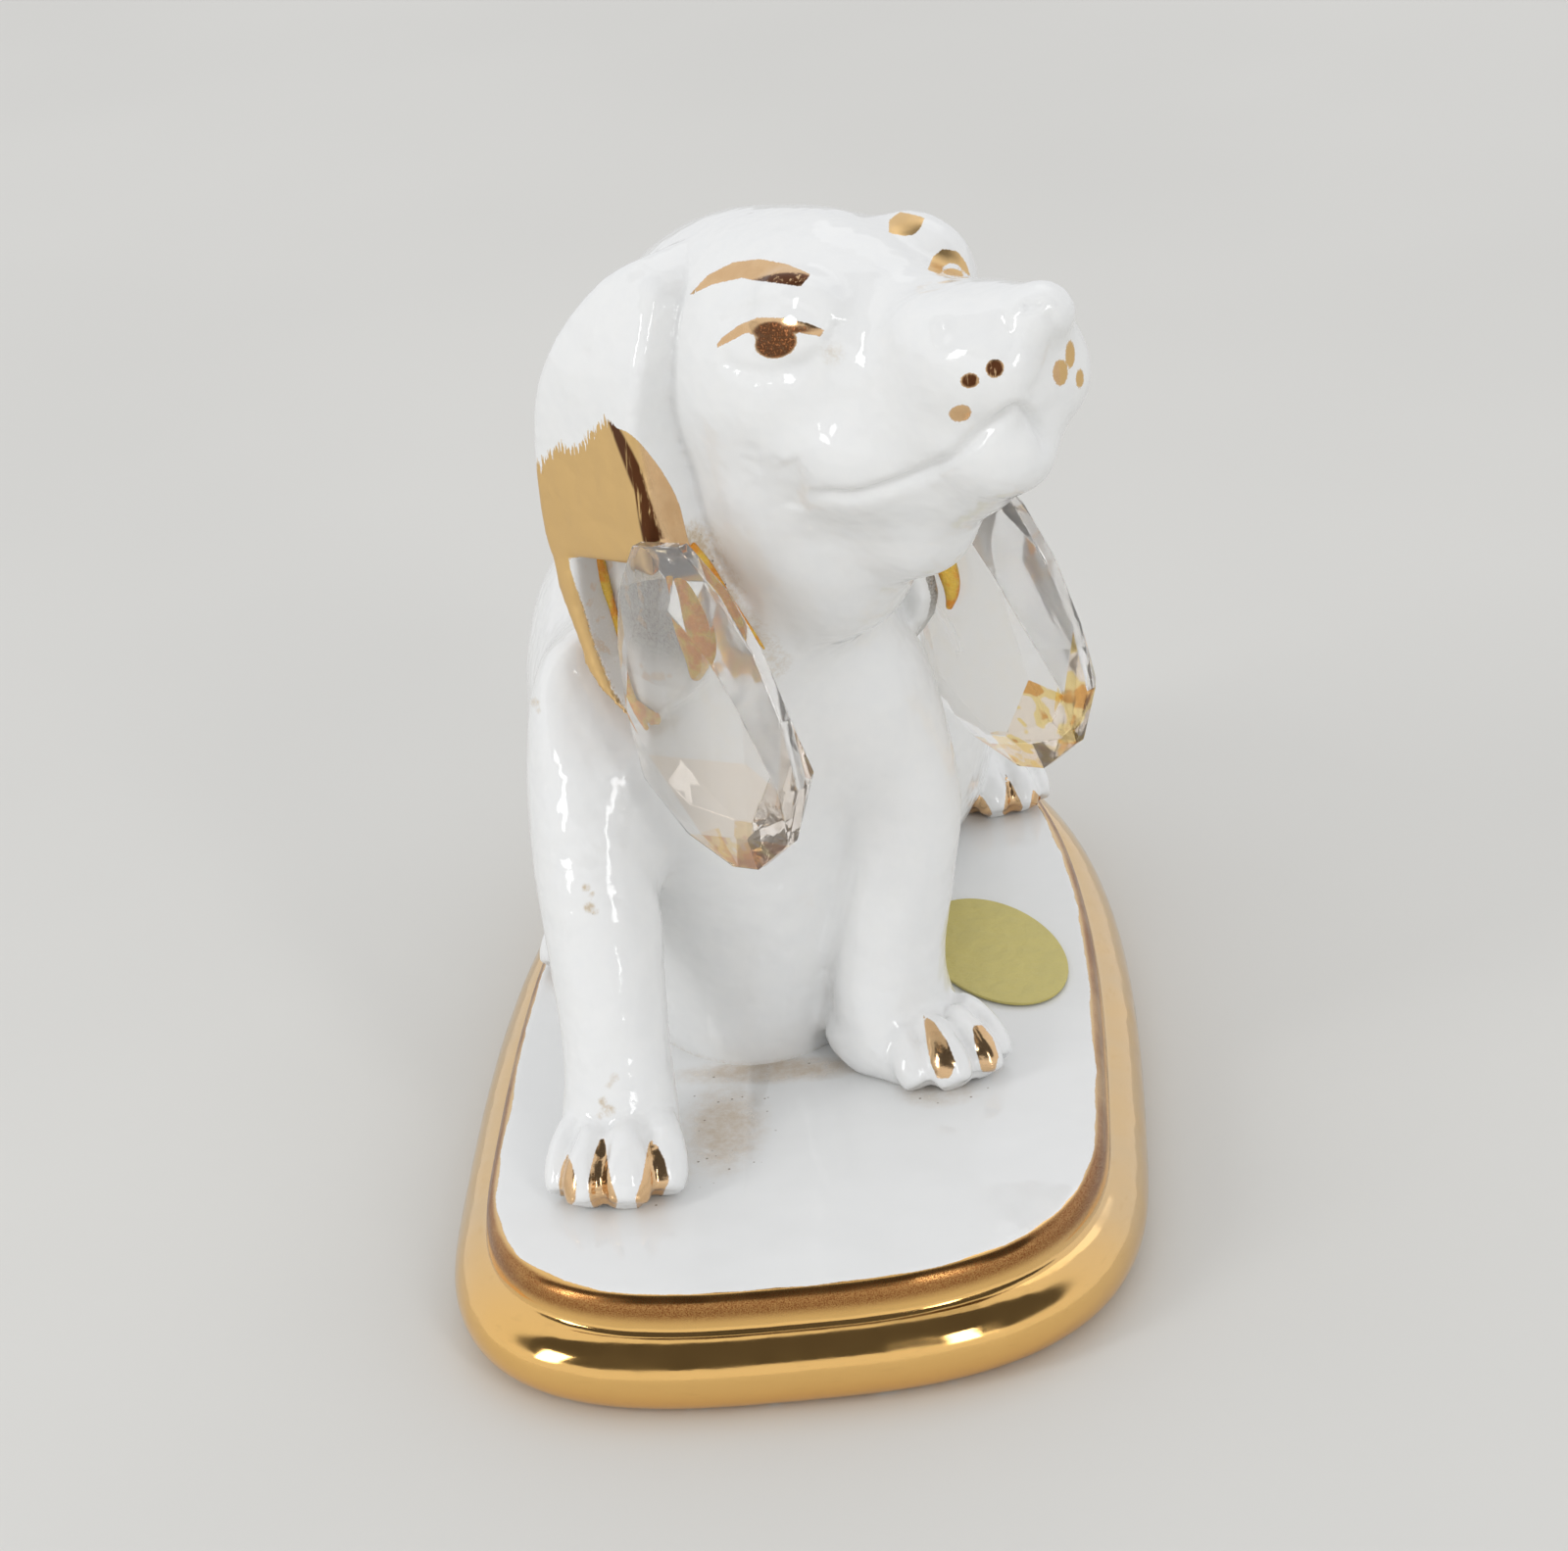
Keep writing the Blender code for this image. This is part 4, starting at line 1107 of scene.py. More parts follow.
def paint_grime(points, normals):
    """Where dust and stains lie on the glaze."""
    height = points[:, 2] - PLINTH_TOP
    grime = FOOT_GRIME * (1 - rise(height, 0.0, 1.6))
    facing = (toward_viewer(normals) > 0.1) & (points[:, 0] < 0) & (points[:, 1] < 8)
    pixels = through_lens(points)
    for x, y, spread, strength in STAINS:
        away = np.hypot(pixels[:, 0] - x, pixels[:, 1] - y) / spread
        grime = np.maximum(grime, facing * strength * (1 - rise(away, 0.3, 1.5)))
    local = in_head(points)
    away = np.linalg.norm(local - np.array(EYE_STAIN), axis=1)
    grime = np.maximum(grime, EYE_GRIME * (1 - rise(away, 0.4, 3.2)))
    away, share = distance_to_path(local, CHEEK_STAIN)
    return np.maximum(grime, (1.0 - 0.5 * share) * (1 - rise(away, 0.8, 5.0)))


def paint(mesh):
    """Stores the marks on the skin: distances in millimetres, and shares."""
    points, normals = read_vectors(mesh, "co"), read_vectors(mesh, "normal")
    face_gold, iris, dark = paint_face(points, normals)
    ear_gold, seat, satin, brushed, washed = paint_ears(points)
    gold = np.minimum(np.minimum(face_gold, ear_gold), paint_paws(points, normals))
    local = in_head(points)
    far_eye = (local[:, 1] > 1.0) & (local[:, 2] > -6) & (local[:, 0] > -12)
    satin = np.maximum(satin, FAR_EYE_SATIN * far_eye)
    for name, distances in {"gilding": gold, "iris": iris, "dark": dark, "seat": seat}.items():
        add_field(mesh, name, np.clip(distances, -FAR_OFF, FAR_OFF))
    grime = paint_grime(points, normals)
    for name, shares in {"satin": satin, "brushed": brushed, "washed": washed, "grime": grime}.items():
        add_field(mesh, name, shares)


# A loose bit of skin with fewer points than this is deleted
LEAST_ISLAND = 500


def drop_crumbs(bm, least):
    """Deletes the loose bits with fewer points than least."""
    waiting = set(bm.verts)
    while waiting:
        island = [waiting.pop()]
        for vert in island:
            for edge in vert.link_edges:
                other = edge.other_vert(vert)
                if other in waiting:
                    waiting.remove(other)
                    island.append(other)
        if len(island) < least:
            bmesh.ops.delete(bm, geom=island, context="VERTS")


def split_skin(mesh, name, cuts):
    """The part of the skin on one side of each cut, closed, shaded as in the whole skin."""
    bm = bmesh.new()
    bm.from_mesh(mesh)
    layer = bm.verts.layers.float_vector.new("whole_normal")
    for vert in bm.verts:
        vert[layer] = vert.normal
    for place, outward in cuts:
        geometry = bm.verts[:] + bm.edges[:] + bm.faces[:]
        bmesh.ops.bisect_plane(bm, geom=geometry, plane_co=place, plane_no=outward, clear_outer=True)
        bmesh.ops.holes_fill(bm, edges=[e for e in bm.edges if e.is_boundary], sides=0)
    drop_crumbs(bm, LEAST_ISLAND)
    part = as_mesh(bm, name)
    normals = np.empty(len(part.vertices) * 3, np.float32)
    part.attributes["whole_normal"].data.foreach_get("vector", normals)
    part.attributes.remove(part.attributes["whole_normal"])
    part.shade_smooth()
    part.normals_split_custom_set_from_vertices(normals.reshape(-1, 3))
    return part


# How metallic the fired gold is, and the index of refraction of the glaze
GOLD_METALLIC, GLAZE_IOR = 0.97, 1.52
# Depth of the glaze's ripples, in metres
RIPPLE_DEPTH = 0.0006
# Colours of the dog's glaze, gold and bare clay; the iris brown also serves for the painted dark
# reflection on the gold
GLAZE_CLOUD = (0.83, 0.83, 0.815, 1)
STAIN = (0.50, 0.37, 0.20, 1)
SOOT = (0.12, 0.08, 0.04, 1)
PALE_GOLD = (0.88, 0.62, 0.36, 1)
SATIN_GOLD = (0.78, 0.53, 0.235, 1)
BROWN_AND_DARK_REFLECTION = (0.12, 0.045, 0.018, 1)
COPPER = (0.62, 0.25, 0.10, 1)
CLAY = (0.40, 0.385, 0.36, 1)
DARK_CLAY = (0.20, 0.185, 0.165, 1)
CLAY_FLECK = (0.75, 0.74, 0.72, 1)
WASHED_CLAY = (0.72, 0.715, 0.70, 1)
CEMENT_STAIN = (0.65, 0.36, 0.10, 1)


def porcelain(settings):
    """White glaze with fired gold, bare clay seats, dust and stains, and dark reflections painted on the
    gold.
    """
    recipe = Recipe("porcelain")
    place = recipe.place()
    fine = recipe.noise(place, 3.0)
    cloud = recipe.noise(place, 0.35)
    bristles = recipe.noise(recipe.stretched(place, (1.0, 1.0, 0.12)), 2.6, 2.0, 0.7)
    edge = recipe.field("gilding") + (fine - 0.5) * 0.25
    edge = edge + (bristles - 0.5) * recipe.field("brushed") * 7.0
    gold = 1.0 - edge.rise(-0.07, 0.07)
    seat = 1.0 - (recipe.field("seat") + (fine - 0.5) * 0.8).rise(-0.1, 0.1)
    iris = 1.0 - recipe.field("iris").rise(-0.3, 0.15)
    # Painted dark reflection on the gold, broken by lighter streaks that are painted highlights
    streaks = recipe.noise(recipe.stretched(place, (1.0, 1.0, 0.08)), 1.9, 3.0, 0.6)
    dark = (1.0 - recipe.field("dark").rise(-0.35, 0.15)) * (1.0 - streaks.rise(0.52, 0.68) * 0.75)
    satin = recipe.field("satin")
    grime = recipe.field("grime")
    dust = (grime * (2.9 * recipe.noise(place, 1.3, 6.0, 0.75) - 0.55)).rise(0.15, 1.1)
    speck = 1.0 - recipe.specks(place, 0.9).rise(0.10, 0.16)

    glaze = recipe.mix(cloud.rise(0.3, 0.7) * 0.5, (*settings.glaze, 1), GLAZE_CLOUD)
    glaze = recipe.mix(dust * 0.75, glaze, STAIN)
    glaze = recipe.mix(dust.rise(0.25, 0.6) * speck, glaze, SOOT)
    metal = recipe.mix(cloud.rise(0.35, 0.65) * 0.4, (*settings.gilding, 1), PALE_GOLD)
    metal = recipe.mix(satin, metal, SATIN_GOLD)
    # The brown of the iris paint, and the painted dark reflection
    brown_and_reflection = (iris * (0.55 + fine * 0.7)).most(dark)
    metal = recipe.mix(brown_and_reflection.rise(0.0, 1.0), metal, BROWN_AND_DARK_REFLECTION)
    metal = recipe.mix(iris * fine.rise(0.50, 0.70) * 0.8, metal, COPPER)
    clay = recipe.mix(fine.rise(0.4, 0.7), CLAY, DARK_CLAY)
    clay = recipe.mix(recipe.specks(place, 1.5).rise(0.16, 0.10) * 0.7, clay, CLAY_FLECK)
    clay = recipe.mix(recipe.field("washed"), clay, WASHED_CLAY)
    clay = recipe.mix(cloud.rise(0.54, 0.62) * 0.3, clay, CEMENT_STAIN)

    colour = recipe.mix(gold, glaze, metal)
    colour = recipe.mix(seat, colour, clay)
    gold_roughness = 0.13 + satin * 0.27 + fine * 0.06 + iris * 0.15
    fired = gold * gold_roughness + (1.0 - gold) * (0.05 + dust * 0.5)
    roughness = fired * (1.0 - seat) + seat * 0.55
    ripple = recipe.noise(place, 0.16, 2.0)
    normal = recipe.bump(ripple + fine * 0.01 * (1.0 + gold), RIPPLE_DEPTH)
    return recipe.finish(
        recipe.surface(
            base_color=colour,
            metallic=gold * (1.0 - seat) * GOLD_METALLIC,
            roughness=roughness,
            ior=GLAZE_IOR,
            normal=normal,
        )
    )


# The planes that the skin is divided at: y of the rear's, and z of the head's
REAR_CUT, HEAD_CUT = 12.0, 63.0


def build_dog(settings):
    """The dog's skin in three stretches that meet unseen: head, front and rear."""
    mesh = fused_skin(settings.grain * 1000)
    carve(mesh)
    paint(mesh)
    material = porcelain(settings)
    rear, neck = (0, REAR_CUT, 0), (0, 0, HEAD_CUT)
    before, behind = (rear, (0, 1, 0)), (rear, (0, -1, 0))
    above, below = (neck, (0, 0, -1)), (neck, (0, 0, 1))
    stretches = {
        "dog_head": ((before, above), ["head", "ear_right", "ear_left"]),
        "dog_front": ((before, below), ["torso", "foreleg_right", "foreleg_left"]),
        "dog_rear": ((behind,), ["hind_leg_right", "hind_leg_left", "tail"]),
    }
    for name, (cuts, nodes) in stretches.items():
        settle(name, split_skin(mesh, name, cuts), material, nodes)
    bpy.data.meshes.remove(mesh)


# Plinth

# Plan: its width and length, how far before the middle it is widest, how much it is sheared,
# and how square its ends are
PLINTH_WIDTH, PLINTH_LENGTH = 93.0, 165.0
WIDEST_FORWARD, PLINTH_SLANT = 38.7, 0.07
FRONT_SQUARENESS, REAR_SQUARENESS = 2.87, 2.75
# Profile: how far the roll stands out of the table's edge, how deep the cove is, the roll's arc
RIM_BULGE, COVE_DEPTH, ROLL_SWEEP = 6.6, 1.7, math.radians(151)
PLINTH_WALL, PLINTH_SIDES, ROLL_STEPS = 3.6, 168, 22
# From the cove up to the lip: inset from the cove's bottom, and share of the height left
COVE_RISE = ((0.06, 0.28), (0.16, 0.5), (0.36, 0.7), (0.66, 0.84), (1.08, 0.94), (1.5, 0.985))
# Insets of the rings on the table
TABLE_RINGS = (10.0, 16.0, 26.0)
VENT_PLACE, VENT_RADIUS = (-5.0, 20.0), 4.0


def outline_point(angle, inset):
    """A point of the plinth's plan, inset from its outermost edge."""
    c, s = math.cos(angle), math.sin(angle)
    reach = PLINTH_LENGTH / 2 - inset
    half_length = reach + WIDEST_FORWARD if s > 0 else reach - WIDEST_FORWARD
    power = 2 / (REAR_SQUARENESS if s > 0 else FRONT_SQUARENESS)
    x = math.copysign(abs(c) ** power, c) * (PLINTH_WIDTH / 2 - inset)
    y = math.copysign(abs(s) ** power, s) * half_length - WIDEST_FORWARD
    return x, y + PLINTH_SLANT * x


def plinth_profile(roll_height):
    """From the cavity's roof under the foot and up to the table: inset and height."""
    wall, roll = RIM_BULGE + 0.3 * PLINTH_WALL, roll_height / 2
    roof = PLINTH_TOP - PLINTH_WALL
    profile = [(wall + 9.0, roof), (wall + 3.0, roof), (wall + 1.6, roof - 0.6), (wall + 0.6, roof - 2.4)]
    profile += [(wall, roll), (wall, 0.8), (wall - 0.5, 0.15), (wall - 1.1, 0.0), (4.6, 0.0)]
    for angle in np.linspace(-ROLL_SWEEP / 2, ROLL_SWEEP / 2, ROLL_STEPS):
        profile.append((roll * (1 - math.cos(angle)), roll * (1 + math.sin(angle))))
    top = profile[-1][1]
    neck, lip = RIM_BULGE - COVE_DEPTH, PLINTH_TOP - top
    profile += [(neck - 0.35, top + 0.12), (neck, top + 0.5)]
    profile += [(neck + inset, top + share * lip) for inset, share in COVE_RISE]
    return profile + [(inset, PLINTH_TOP) for inset in (neck + 2.0, neck + 2.8, *TABLE_RINGS)]


def build_plinth(settings):
    """A profile grown ring by ring along the plan, with a vent bored through the table."""
    profile = plinth_profile(settings.roll_height * 1000)
    bm = bmesh.new()
    edge_field = bm.verts.layers.float.new("edge")
    order = bmesh.ops.create_circle(bm, cap_ends=True, segments=PLINTH_SIDES, radius=1.0)["verts"]
    edges = bm.edges[:]
    angles = [math.atan2(vert.co.y, vert.co.x) for vert in order]
    rim = next(k for k, (inset, _) in enumerate(profile) if k > ROLL_STEPS and inset >= RIM_BULGE)
    lengths = np.cumsum([0.0] + [math.dist(a, b) for a, b in zip(profile, profile[1:])])
    for k, (inset, height) in enumerate(profile):
        if k:
            order, edges = grow_in_order(bm, order, edges)
        for angle, vert in zip(angles, order):
            vert.co = (*outline_point(angle, inset), height)
            vert[edge_field] = lengths[rim] - lengths[k]
    bmesh.ops.contextual_create(bm, geom=edges)
    bmesh.ops.recalc_face_normals(bm, faces=bm.faces)
    for face in bm.faces:
        face.smooth = True
    mesh = as_mesh(bm, "plinth_shell")
    bore = bmesh.new()
    vent = Matrix.Translation((*VENT_PLACE, PLINTH_TOP - PLINTH_WALL / 2))
    bmesh.ops.create_cone(
        bore,
        cap_ends=True,
        segments=48,
        radius1=VENT_RADIUS,
        radius2=VENT_RADIUS,
        depth=3 * PLINTH_WALL,
        matrix=vent,
    )
    cutter = bpy.data.objects.new("vent", as_mesh(bore, "vent"))
    bpy.context.scene.collection.objects.link(cutter)
    shell = baked(mesh, ("BOOLEAN", {"object": cutter, "solver": "EXACT"}))
    bpy.data.objects.remove(cutter)
    return settle("plinth_shell", shell, gilt_plinth(settings), ["plinth"])


def grow_in_order(bm, verts, edges):
    """Extrudes a ring of edges, keeping the new ring's verts in the old ring's order."""
    grown, ring = grow(bm, edges)
    new = set(grown)
    order = [next(e.other_vert(v) for e in v.link_edges if e.other_vert(v) in new) for v in verts]
    return order, ring


# Dust round the paws and the chest: x and y of its middle, weights across and along, where it
# is full and where it is gone, and strength
DUST_PATCHES = (
    ((-21.0, -46.0), (0.9, 0.5), (3.0, 11.0), 1.0), ((-10.0, -38.0), (0.55, 0.14), (1.0, 7.5), 1.0),
    ((-4.0, -24.0), (0.10, 1.6), (1.5, 7.0), 1.0), ((19.0, -31.0), (0.5, 0.8), (2.0, 7.0), 0.7),
)
# Colours of the plinth's gold and of its glazed table
THIN_GOLD = (0.70, 0.53, 0.33, 1)
BURNT_GOLD = (0.22, 0.06, 0.014, 1)
STROKE_GOLD = (0.60, 0.36, 0.13, 1)
TABLE_GLAZE = (0.80, 0.805, 0.80, 1)
TABLE_CLOUD = (0.77, 0.775, 0.765, 1)
DUST = (0.50, 0.37, 0.23, 1)
GRIT = (0.16, 0.11, 0.06, 1)


def gilt_plinth(settings):
    """Gold below the table's edge and white glaze inside it, with burnt gold, wear and dust."""
    recipe = Recipe("gilt_plinth")
    place = recipe.place()
    fine = recipe.noise(place, 2.2)
    cloud = recipe.noise(place, 0.12, 4.0)
    strokes = recipe.noise(recipe.stretched(place, (0.5, 0.5, 3.0)), 0.9, 3.0)
    wobble = (recipe.noise(place, 0.10, 2.0) - 0.5) * 1.6 + (fine - 0.5) * 0.2
    split = recipe.node("ShaderNodeSeparateXYZ", {}, {0: place})
    across, along, height = (split.output(axis) for axis in "XYZ")
    edge = recipe.field("edge")
    gold = (edge + wobble).rise(0.25, 0.40) * height.rise(0.02, 0.3)
    foot_wear = (1.0 - height.rise(0.4, 1.3)) * recipe.noise(place, 0.8, 4.0).rise(0.56, 0.62)
    gold = gold * (1.0 - foot_wear)

    shoulder = edge.rise(0.3, 1.0) * (1.0 - edge.rise(3.0, 4.8))
    speckle = recipe.noise(place, 7.0, 2.0, 0.5).rise(0.40, 0.62)
    burnt = (recipe.noise(place, 0.08, 3.0) + 0.35 - along.rise(-80.0, -40.0) * 0.2).rise(0.45, 0.75)
    thin = along.rise(-76.0, -46.0) * (0.55 + cloud * 0.5)
    metal = recipe.mix(thin, (*settings.gilding, 1), THIN_GOLD)
    brown = shoulder * (0.65 + 0.35 * speckle) * (0.50 + 0.50 * burnt) * settings.wear
    metal = recipe.mix(brown, metal, BURNT_GOLD)
    metal = recipe.mix(strokes.rise(0.55, 0.75) * 0.15, metal, STROKE_GOLD)

    near = 0.0
    for (x, y), (across_weight, along_weight), (full, gone), strength in DUST_PATCHES:
        away = ((across - x) ** 2.0 * across_weight + (along - y) ** 2.0 * along_weight) ** 0.5
        near = ((1.0 - away.rise(full, gone)) * strength).most(near)
    dust = (near * (0.25 + 1.2 * recipe.noise(place, 0.5, 6.0, 0.75))).rise(0.2, 1.25)
    speck = (1.0 - recipe.specks(place, 0.55).rise(0.06, 0.13)) * near.rise(0.1, 0.5)
    glaze = recipe.mix(cloud * 0.3, TABLE_GLAZE, TABLE_CLOUD)
    glaze = recipe.mix(dust * 0.85, glaze, DUST)
    glaze = recipe.mix(speck * 0.8, glaze, GRIT)

    colour = recipe.mix(gold, glaze, metal)
    side = cloud.rise(0.3, 0.7) * 0.10 + edge.rise(6.0, 22.0) * 0.05
    gold_roughness = 0.07 + side + shoulder * (0.1 + speckle * 0.12)
    roughness = gold * gold_roughness + (1.0 - gold) * (0.06 + dust * 0.5)
    ripple = recipe.noise(place, 0.07, 2.0)
    normal = recipe.bump(ripple + strokes * 0.012 * gold, RIPPLE_DEPTH)
    return recipe.finish(
        recipe.surface(
            base_color=colour,
            metallic=gold * GOLD_METALLIC,
            roughness=roughness,
            ior=GLAZE_IOR,
            normal=normal,
        )
    )


# Drops of cut glass

DROP_LENGTH, DROP_WIDTH, DROP_THICKNESS, DROP_GIRDLE = 45.0, 31.2, 10.0, 1.6
# Corners of one half of the girdle: shares of the drop's half width and half length
GIRDLE = (
    (0.30, 1.0), (0.66, 0.72), (0.88, 0.38), (1.0, -0.04), (0.98, -0.45), (0.66, -0.80),
    (0.16, -0.985),
)
# The same of the outer face's table, whose half width is itself a share, and of the facets
# near the drop's foot
DROP_TABLE = ((0.24, 0.66), (0.68, 0.40), (1.0, 0.04), (0.84, -0.24))
FOOT_FACETS = ((0.86, -0.42), (0.62, -0.60), (0.30, -0.74))
# How the bevelled girdle is drawn in, and how much less than the table's share the flat on the
# inner face takes of the girdle's width and length
GIRDLE_SHARES, FLAT_LESS = (0.985, 0.99), (0.16, 0.04)
# How far out of the girdle's middle the table, the flat and the foot's corners stand
TABLE_OUT, FLAT_OUT, FOOT_OUT = 3.7, -4.95, (2.7, -3.7)
POLISHED_EDGE, LEAST_BEND = 0.09, math.radians(1.5)
# How thick the cement is, and how far the drop stands off it
CEMENT_BED, DROP_GAP = 1.2, 0.6
# Which facets carry the cement's amber as a painted reflection, from the middle downwards and to the
# front, and how much
REFLECTION_BELOW, REFLECTION_AHEAD, DROP_REFLECTION = 6.0, 1.5, {-1: 0.6, 1: 1.0}
# From where downwards the facets of the foot carry that painted reflection, and how much
FOOT_BELOW, FOOT_REFLECTION = 18.5, 0.88
# Where each drop hangs: its middle's forward and height from the eyes, and its lean
DROP_PLACES = {-1: (-7.5, -48.0, math.radians(14)), 1: (-7.2, -56.0, math.radians(14))}


def drop_point(side, across, along, out):
    """A point of a drop: forward of its middle, along its length, and outwards."""
    ahead, height, lean = DROP_PLACES[side]
    ahead += across * math.cos(lean) - along * math.sin(lean)
    height += across * math.sin(lean) + along * math.cos(lean)
    middle = EAR_INNER + EAR_SPLAY + TONGUE_THICKNESS + CEMENT_BED + DROP_THICKNESS / 2 + DROP_GAP
    return on_head(ahead, side * (middle + out), height)


def build_drop(side, settings, material):
    """A girdle, facets and a flat table on each face, with polished edges."""
    flat_shares = [settings.table - less for less in FLAT_LESS]
    rows = (
        (GIRDLE, GIRDLE_SHARES, (-DROP_GIRDLE / 2, DROP_GIRDLE / 2)),
        (GIRDLE[::2], flat_shares, (FLAT_OUT,)),
        (DROP_TABLE, (settings.table, 1.0), (TABLE_OUT,)),
        (FOOT_FACETS, (1.0, 1.0), FOOT_OUT),
    )
    bm = bmesh.new()
    for corners, (width_share, length_share), heights in rows:
        for x, y in corners:
            across = x * DROP_WIDTH / 2 * width_share
            along = y * DROP_LENGTH / 2 * length_share
            for out in heights:
                for hand in (-1, 1):
                    bm.verts.new(drop_point(side, hand * across, along, out))
    hull = bmesh.ops.convex_hull(bm, input=bm.verts)
    spare = {item for item in hull["geom_interior"] if isinstance(item, bmesh.types.BMVert)}
    bmesh.ops.delete(bm, geom=list(spare), context="VERTS")
    bmesh.ops.dissolve_limit(bm, angle_limit=LEAST_BEND, verts=bm.verts, edges=bm.edges)
    round_edges(bm, bm.edges[:], POLISHED_EDGE, 1)
    bmesh.ops.recalc_face_normals(bm, faces=bm.faces)
    # The lower facets get a share of the cement's amber, painted on as its reflection
    painted_reflection = bm.faces.layers.float.new("painted_reflection")
    centre = drop_point(side, 0.0, 0.0, 0.0)
    frontward = (drop_point(side, 1.0, 0.0, 0.0) - centre).normalized()
    downward = (drop_point(side, 0.0, -1.0, 0.0) - centre).normalized()
    for face in bm.faces:
        middle = face.calc_center_median() - centre
        down, front = middle.dot(downward), middle.dot(frontward)
        if down > FOOT_BELOW:
            face[painted_reflection] = FOOT_REFLECTION
        elif down > REFLECTION_BELOW and front > side * REFLECTION_AHEAD:
            face[painted_reflection] = DROP_REFLECTION[side]
    name = "drop_" + SIDE_WORDS[side]
    return settle(name, as_mesh(bm, name), material, ["crystal_" + SIDE_WORDS[side]])


# How much light the glass lets through, and its index of refraction
GLASS = {"transmission_weight": 0.9, "ior": 1.46}
# Colours of the glass where it is smeared, and of the cement's reflection painted on it
SMEARED_GLASS = (0.985, 0.955, 0.90, 1)
REFLECTED_AMBER = (1.0, 0.66, 0.16, 1)
REFLECTED_DEEP_AMBER = (0.70, 0.22, 0.02, 1)
REFLECTED_PEACH = (1.0, 0.82, 0.64, 1)


def cut_glass(settings):
    """Clear glass, smeared in places, with the cement's amber reflection painted on its lower facets."""
    recipe = Recipe("cut_glass")
    place = recipe.place()
    smear = recipe.noise(place, 0.25, 5.0, 0.7)
    flames = recipe.noise(place, 0.22, 2.0, 0.5)
    tint = recipe.mix(smear.rise(0.45, 0.75), (*settings.glass, 1), SMEARED_GLASS)
    # Painted reflection of the cement: a peach cast on the lower facets, amber flames on the most
    # reflecting ones
    amber = recipe.mix(flames.rise(0.52, 0.56), REFLECTED_AMBER, REFLECTED_DEEP_AMBER)
    amber_reflection = recipe.field("painted_reflection").rise(0.7, 1.0) * flames.rise(0.43, 0.46)
    tint = recipe.mix(recipe.field("painted_reflection"), tint, REFLECTED_PEACH)
    tint = recipe.mix(amber_reflection, tint, amber)
    return recipe.finish(recipe.surface(base_color=tint, roughness=0.0, **GLASS))


# Cement

# Beads on each ear, from the rear: forward, out, height from the eyes, and thickness
CEMENT_BEADS = (
    (
        (-33.0, 20.2, -34.2, 0.8), (-32.6, 20.0, -38.5, 0.9), (-31.6, 19.9, -43.0, 0.6),
        (-30.2, 19.8, -48.0, 0.8), (-28.6, 19.7, -52.0, 0.4),
    ),
    (
        (-24.8, 20.0, -34.5, 0.7), (-24.6, 20.4, -40.0, 0.9), (-24.2, 20.4, -46.0, 0.8),
        (-22.8, 20.4, -52.0, 0.9), (-20.4, 20.4, -56.0, 0.5),
    ),
    (
        (-14.6, 20.2, -31.6, 1.0), (-12.0, 20.3, -34.2, 1.9), (-10.0, 20.4, -38.4, 2.3),
        (-9.4, 20.5, -42.0, 1.9), (-10.2, 20.4, -45.0, 0.8),
    ),
    ((-22.0, 20.4, -53.2, 1.1), (-20.2, 20.4, -53.8, 1.4), (-18.4, 20.4, -53.4, 1.0)),
)
# The bead that has run down the right cheek, and how thick the beads of each side are
CHEEK_BEAD = (
    (-15.4, 19.2, -30.0, 0.9), (-13.4, 18.0, -33.0, 0.75), (-11.2, 16.9, -37.6, 0.55),
    (-9.8, 15.3, -42.0, 0.45), (-9.4, 13.6, -45.4, 0.25),
)
BEAD_SIZE = {-1: 1.0, 1: 0.62}
# How much the beads swell and shrink along their length, and how fast
BEAD_SWELL, BEAD_RHYTHM = 0.18, 5.1
BEAD_GRAIN, EASE_BEADS = 0.22, 4


def build_cement(side, material):
    """The beads of aged cement between an ear and its drop, as lumps melted together."""
    bm = bmesh.new()
    for bead in CEMENT_BEADS + (CHEEK_BEAD,) * (side < 0):
        stations = []
        for k, (ahead, out, height, thickness) in enumerate(bead):
            swelling = 1 + BEAD_SWELL * math.sin(BEAD_RHYTHM * k + ahead)
            lump = thickness * BEAD_SIZE[side] * swelling
            centre = on_head(ahead, side * out, height - EAR_DROP[side])
            stations.append((*centre, lump, lump))
        limb(bm, stations, FORWARD, sides=14)
    bmesh.ops.recalc_face_normals(bm, faces=bm.faces)
    fused = eased(melted(raw_mesh(bm, "beads"), BEAD_GRAIN), EASE_BEADS)
    put_points(fused, read_vectors(fused, "co") * 0.001)
    fused.shade_smooth()
    name = "beads_" + SIDE_WORDS[side]
    return settle(name, fused, material, ["cement_" + SIDE_WORDS[side]])


# Colours of the cement's clear and dusty places
YELLOW_CEMENT = (0.95, 0.62, 0.08, 1)
DUSTY_CEMENT = (0.34, 0.12, 0.02, 1)


def aged_cement(settings):
    """Yellowed cement, glossy, clear in places and dusty in others."""
    recipe = Recipe("aged_cement")
    place = recipe.place()
    cloud = recipe.noise(place, 0.45, 4.0)
    fine = recipe.noise(place, 2.5, 5.0, 0.7)
    colour = recipe.mix(cloud.rise(0.40, 0.60), (*settings.cement, 1), YELLOW_CEMENT)
    colour = recipe.mix(fine.rise(0.56, 0.70) * 0.6, colour, DUSTY_CEMENT)
    return recipe.finish(
        recipe.surface(
            base_color=colour,
            roughness=0.16 + fine.rise(0.5, 0.7) * 0.35,
            transmission_weight=0.2,
            ior=1.48,
            normal=recipe.bump(fine, 0.0002),
        )
    )


# Label

LABEL_SIZE, LABEL_CENTRE, LABEL_TURN = (18.0, 32.0), (26.3, 4.1), math.radians(24)
# How far the label stands off the table, and how its cut edge is rounded
LABEL_GAP, LABEL_EDGE = 0.3, 0.08


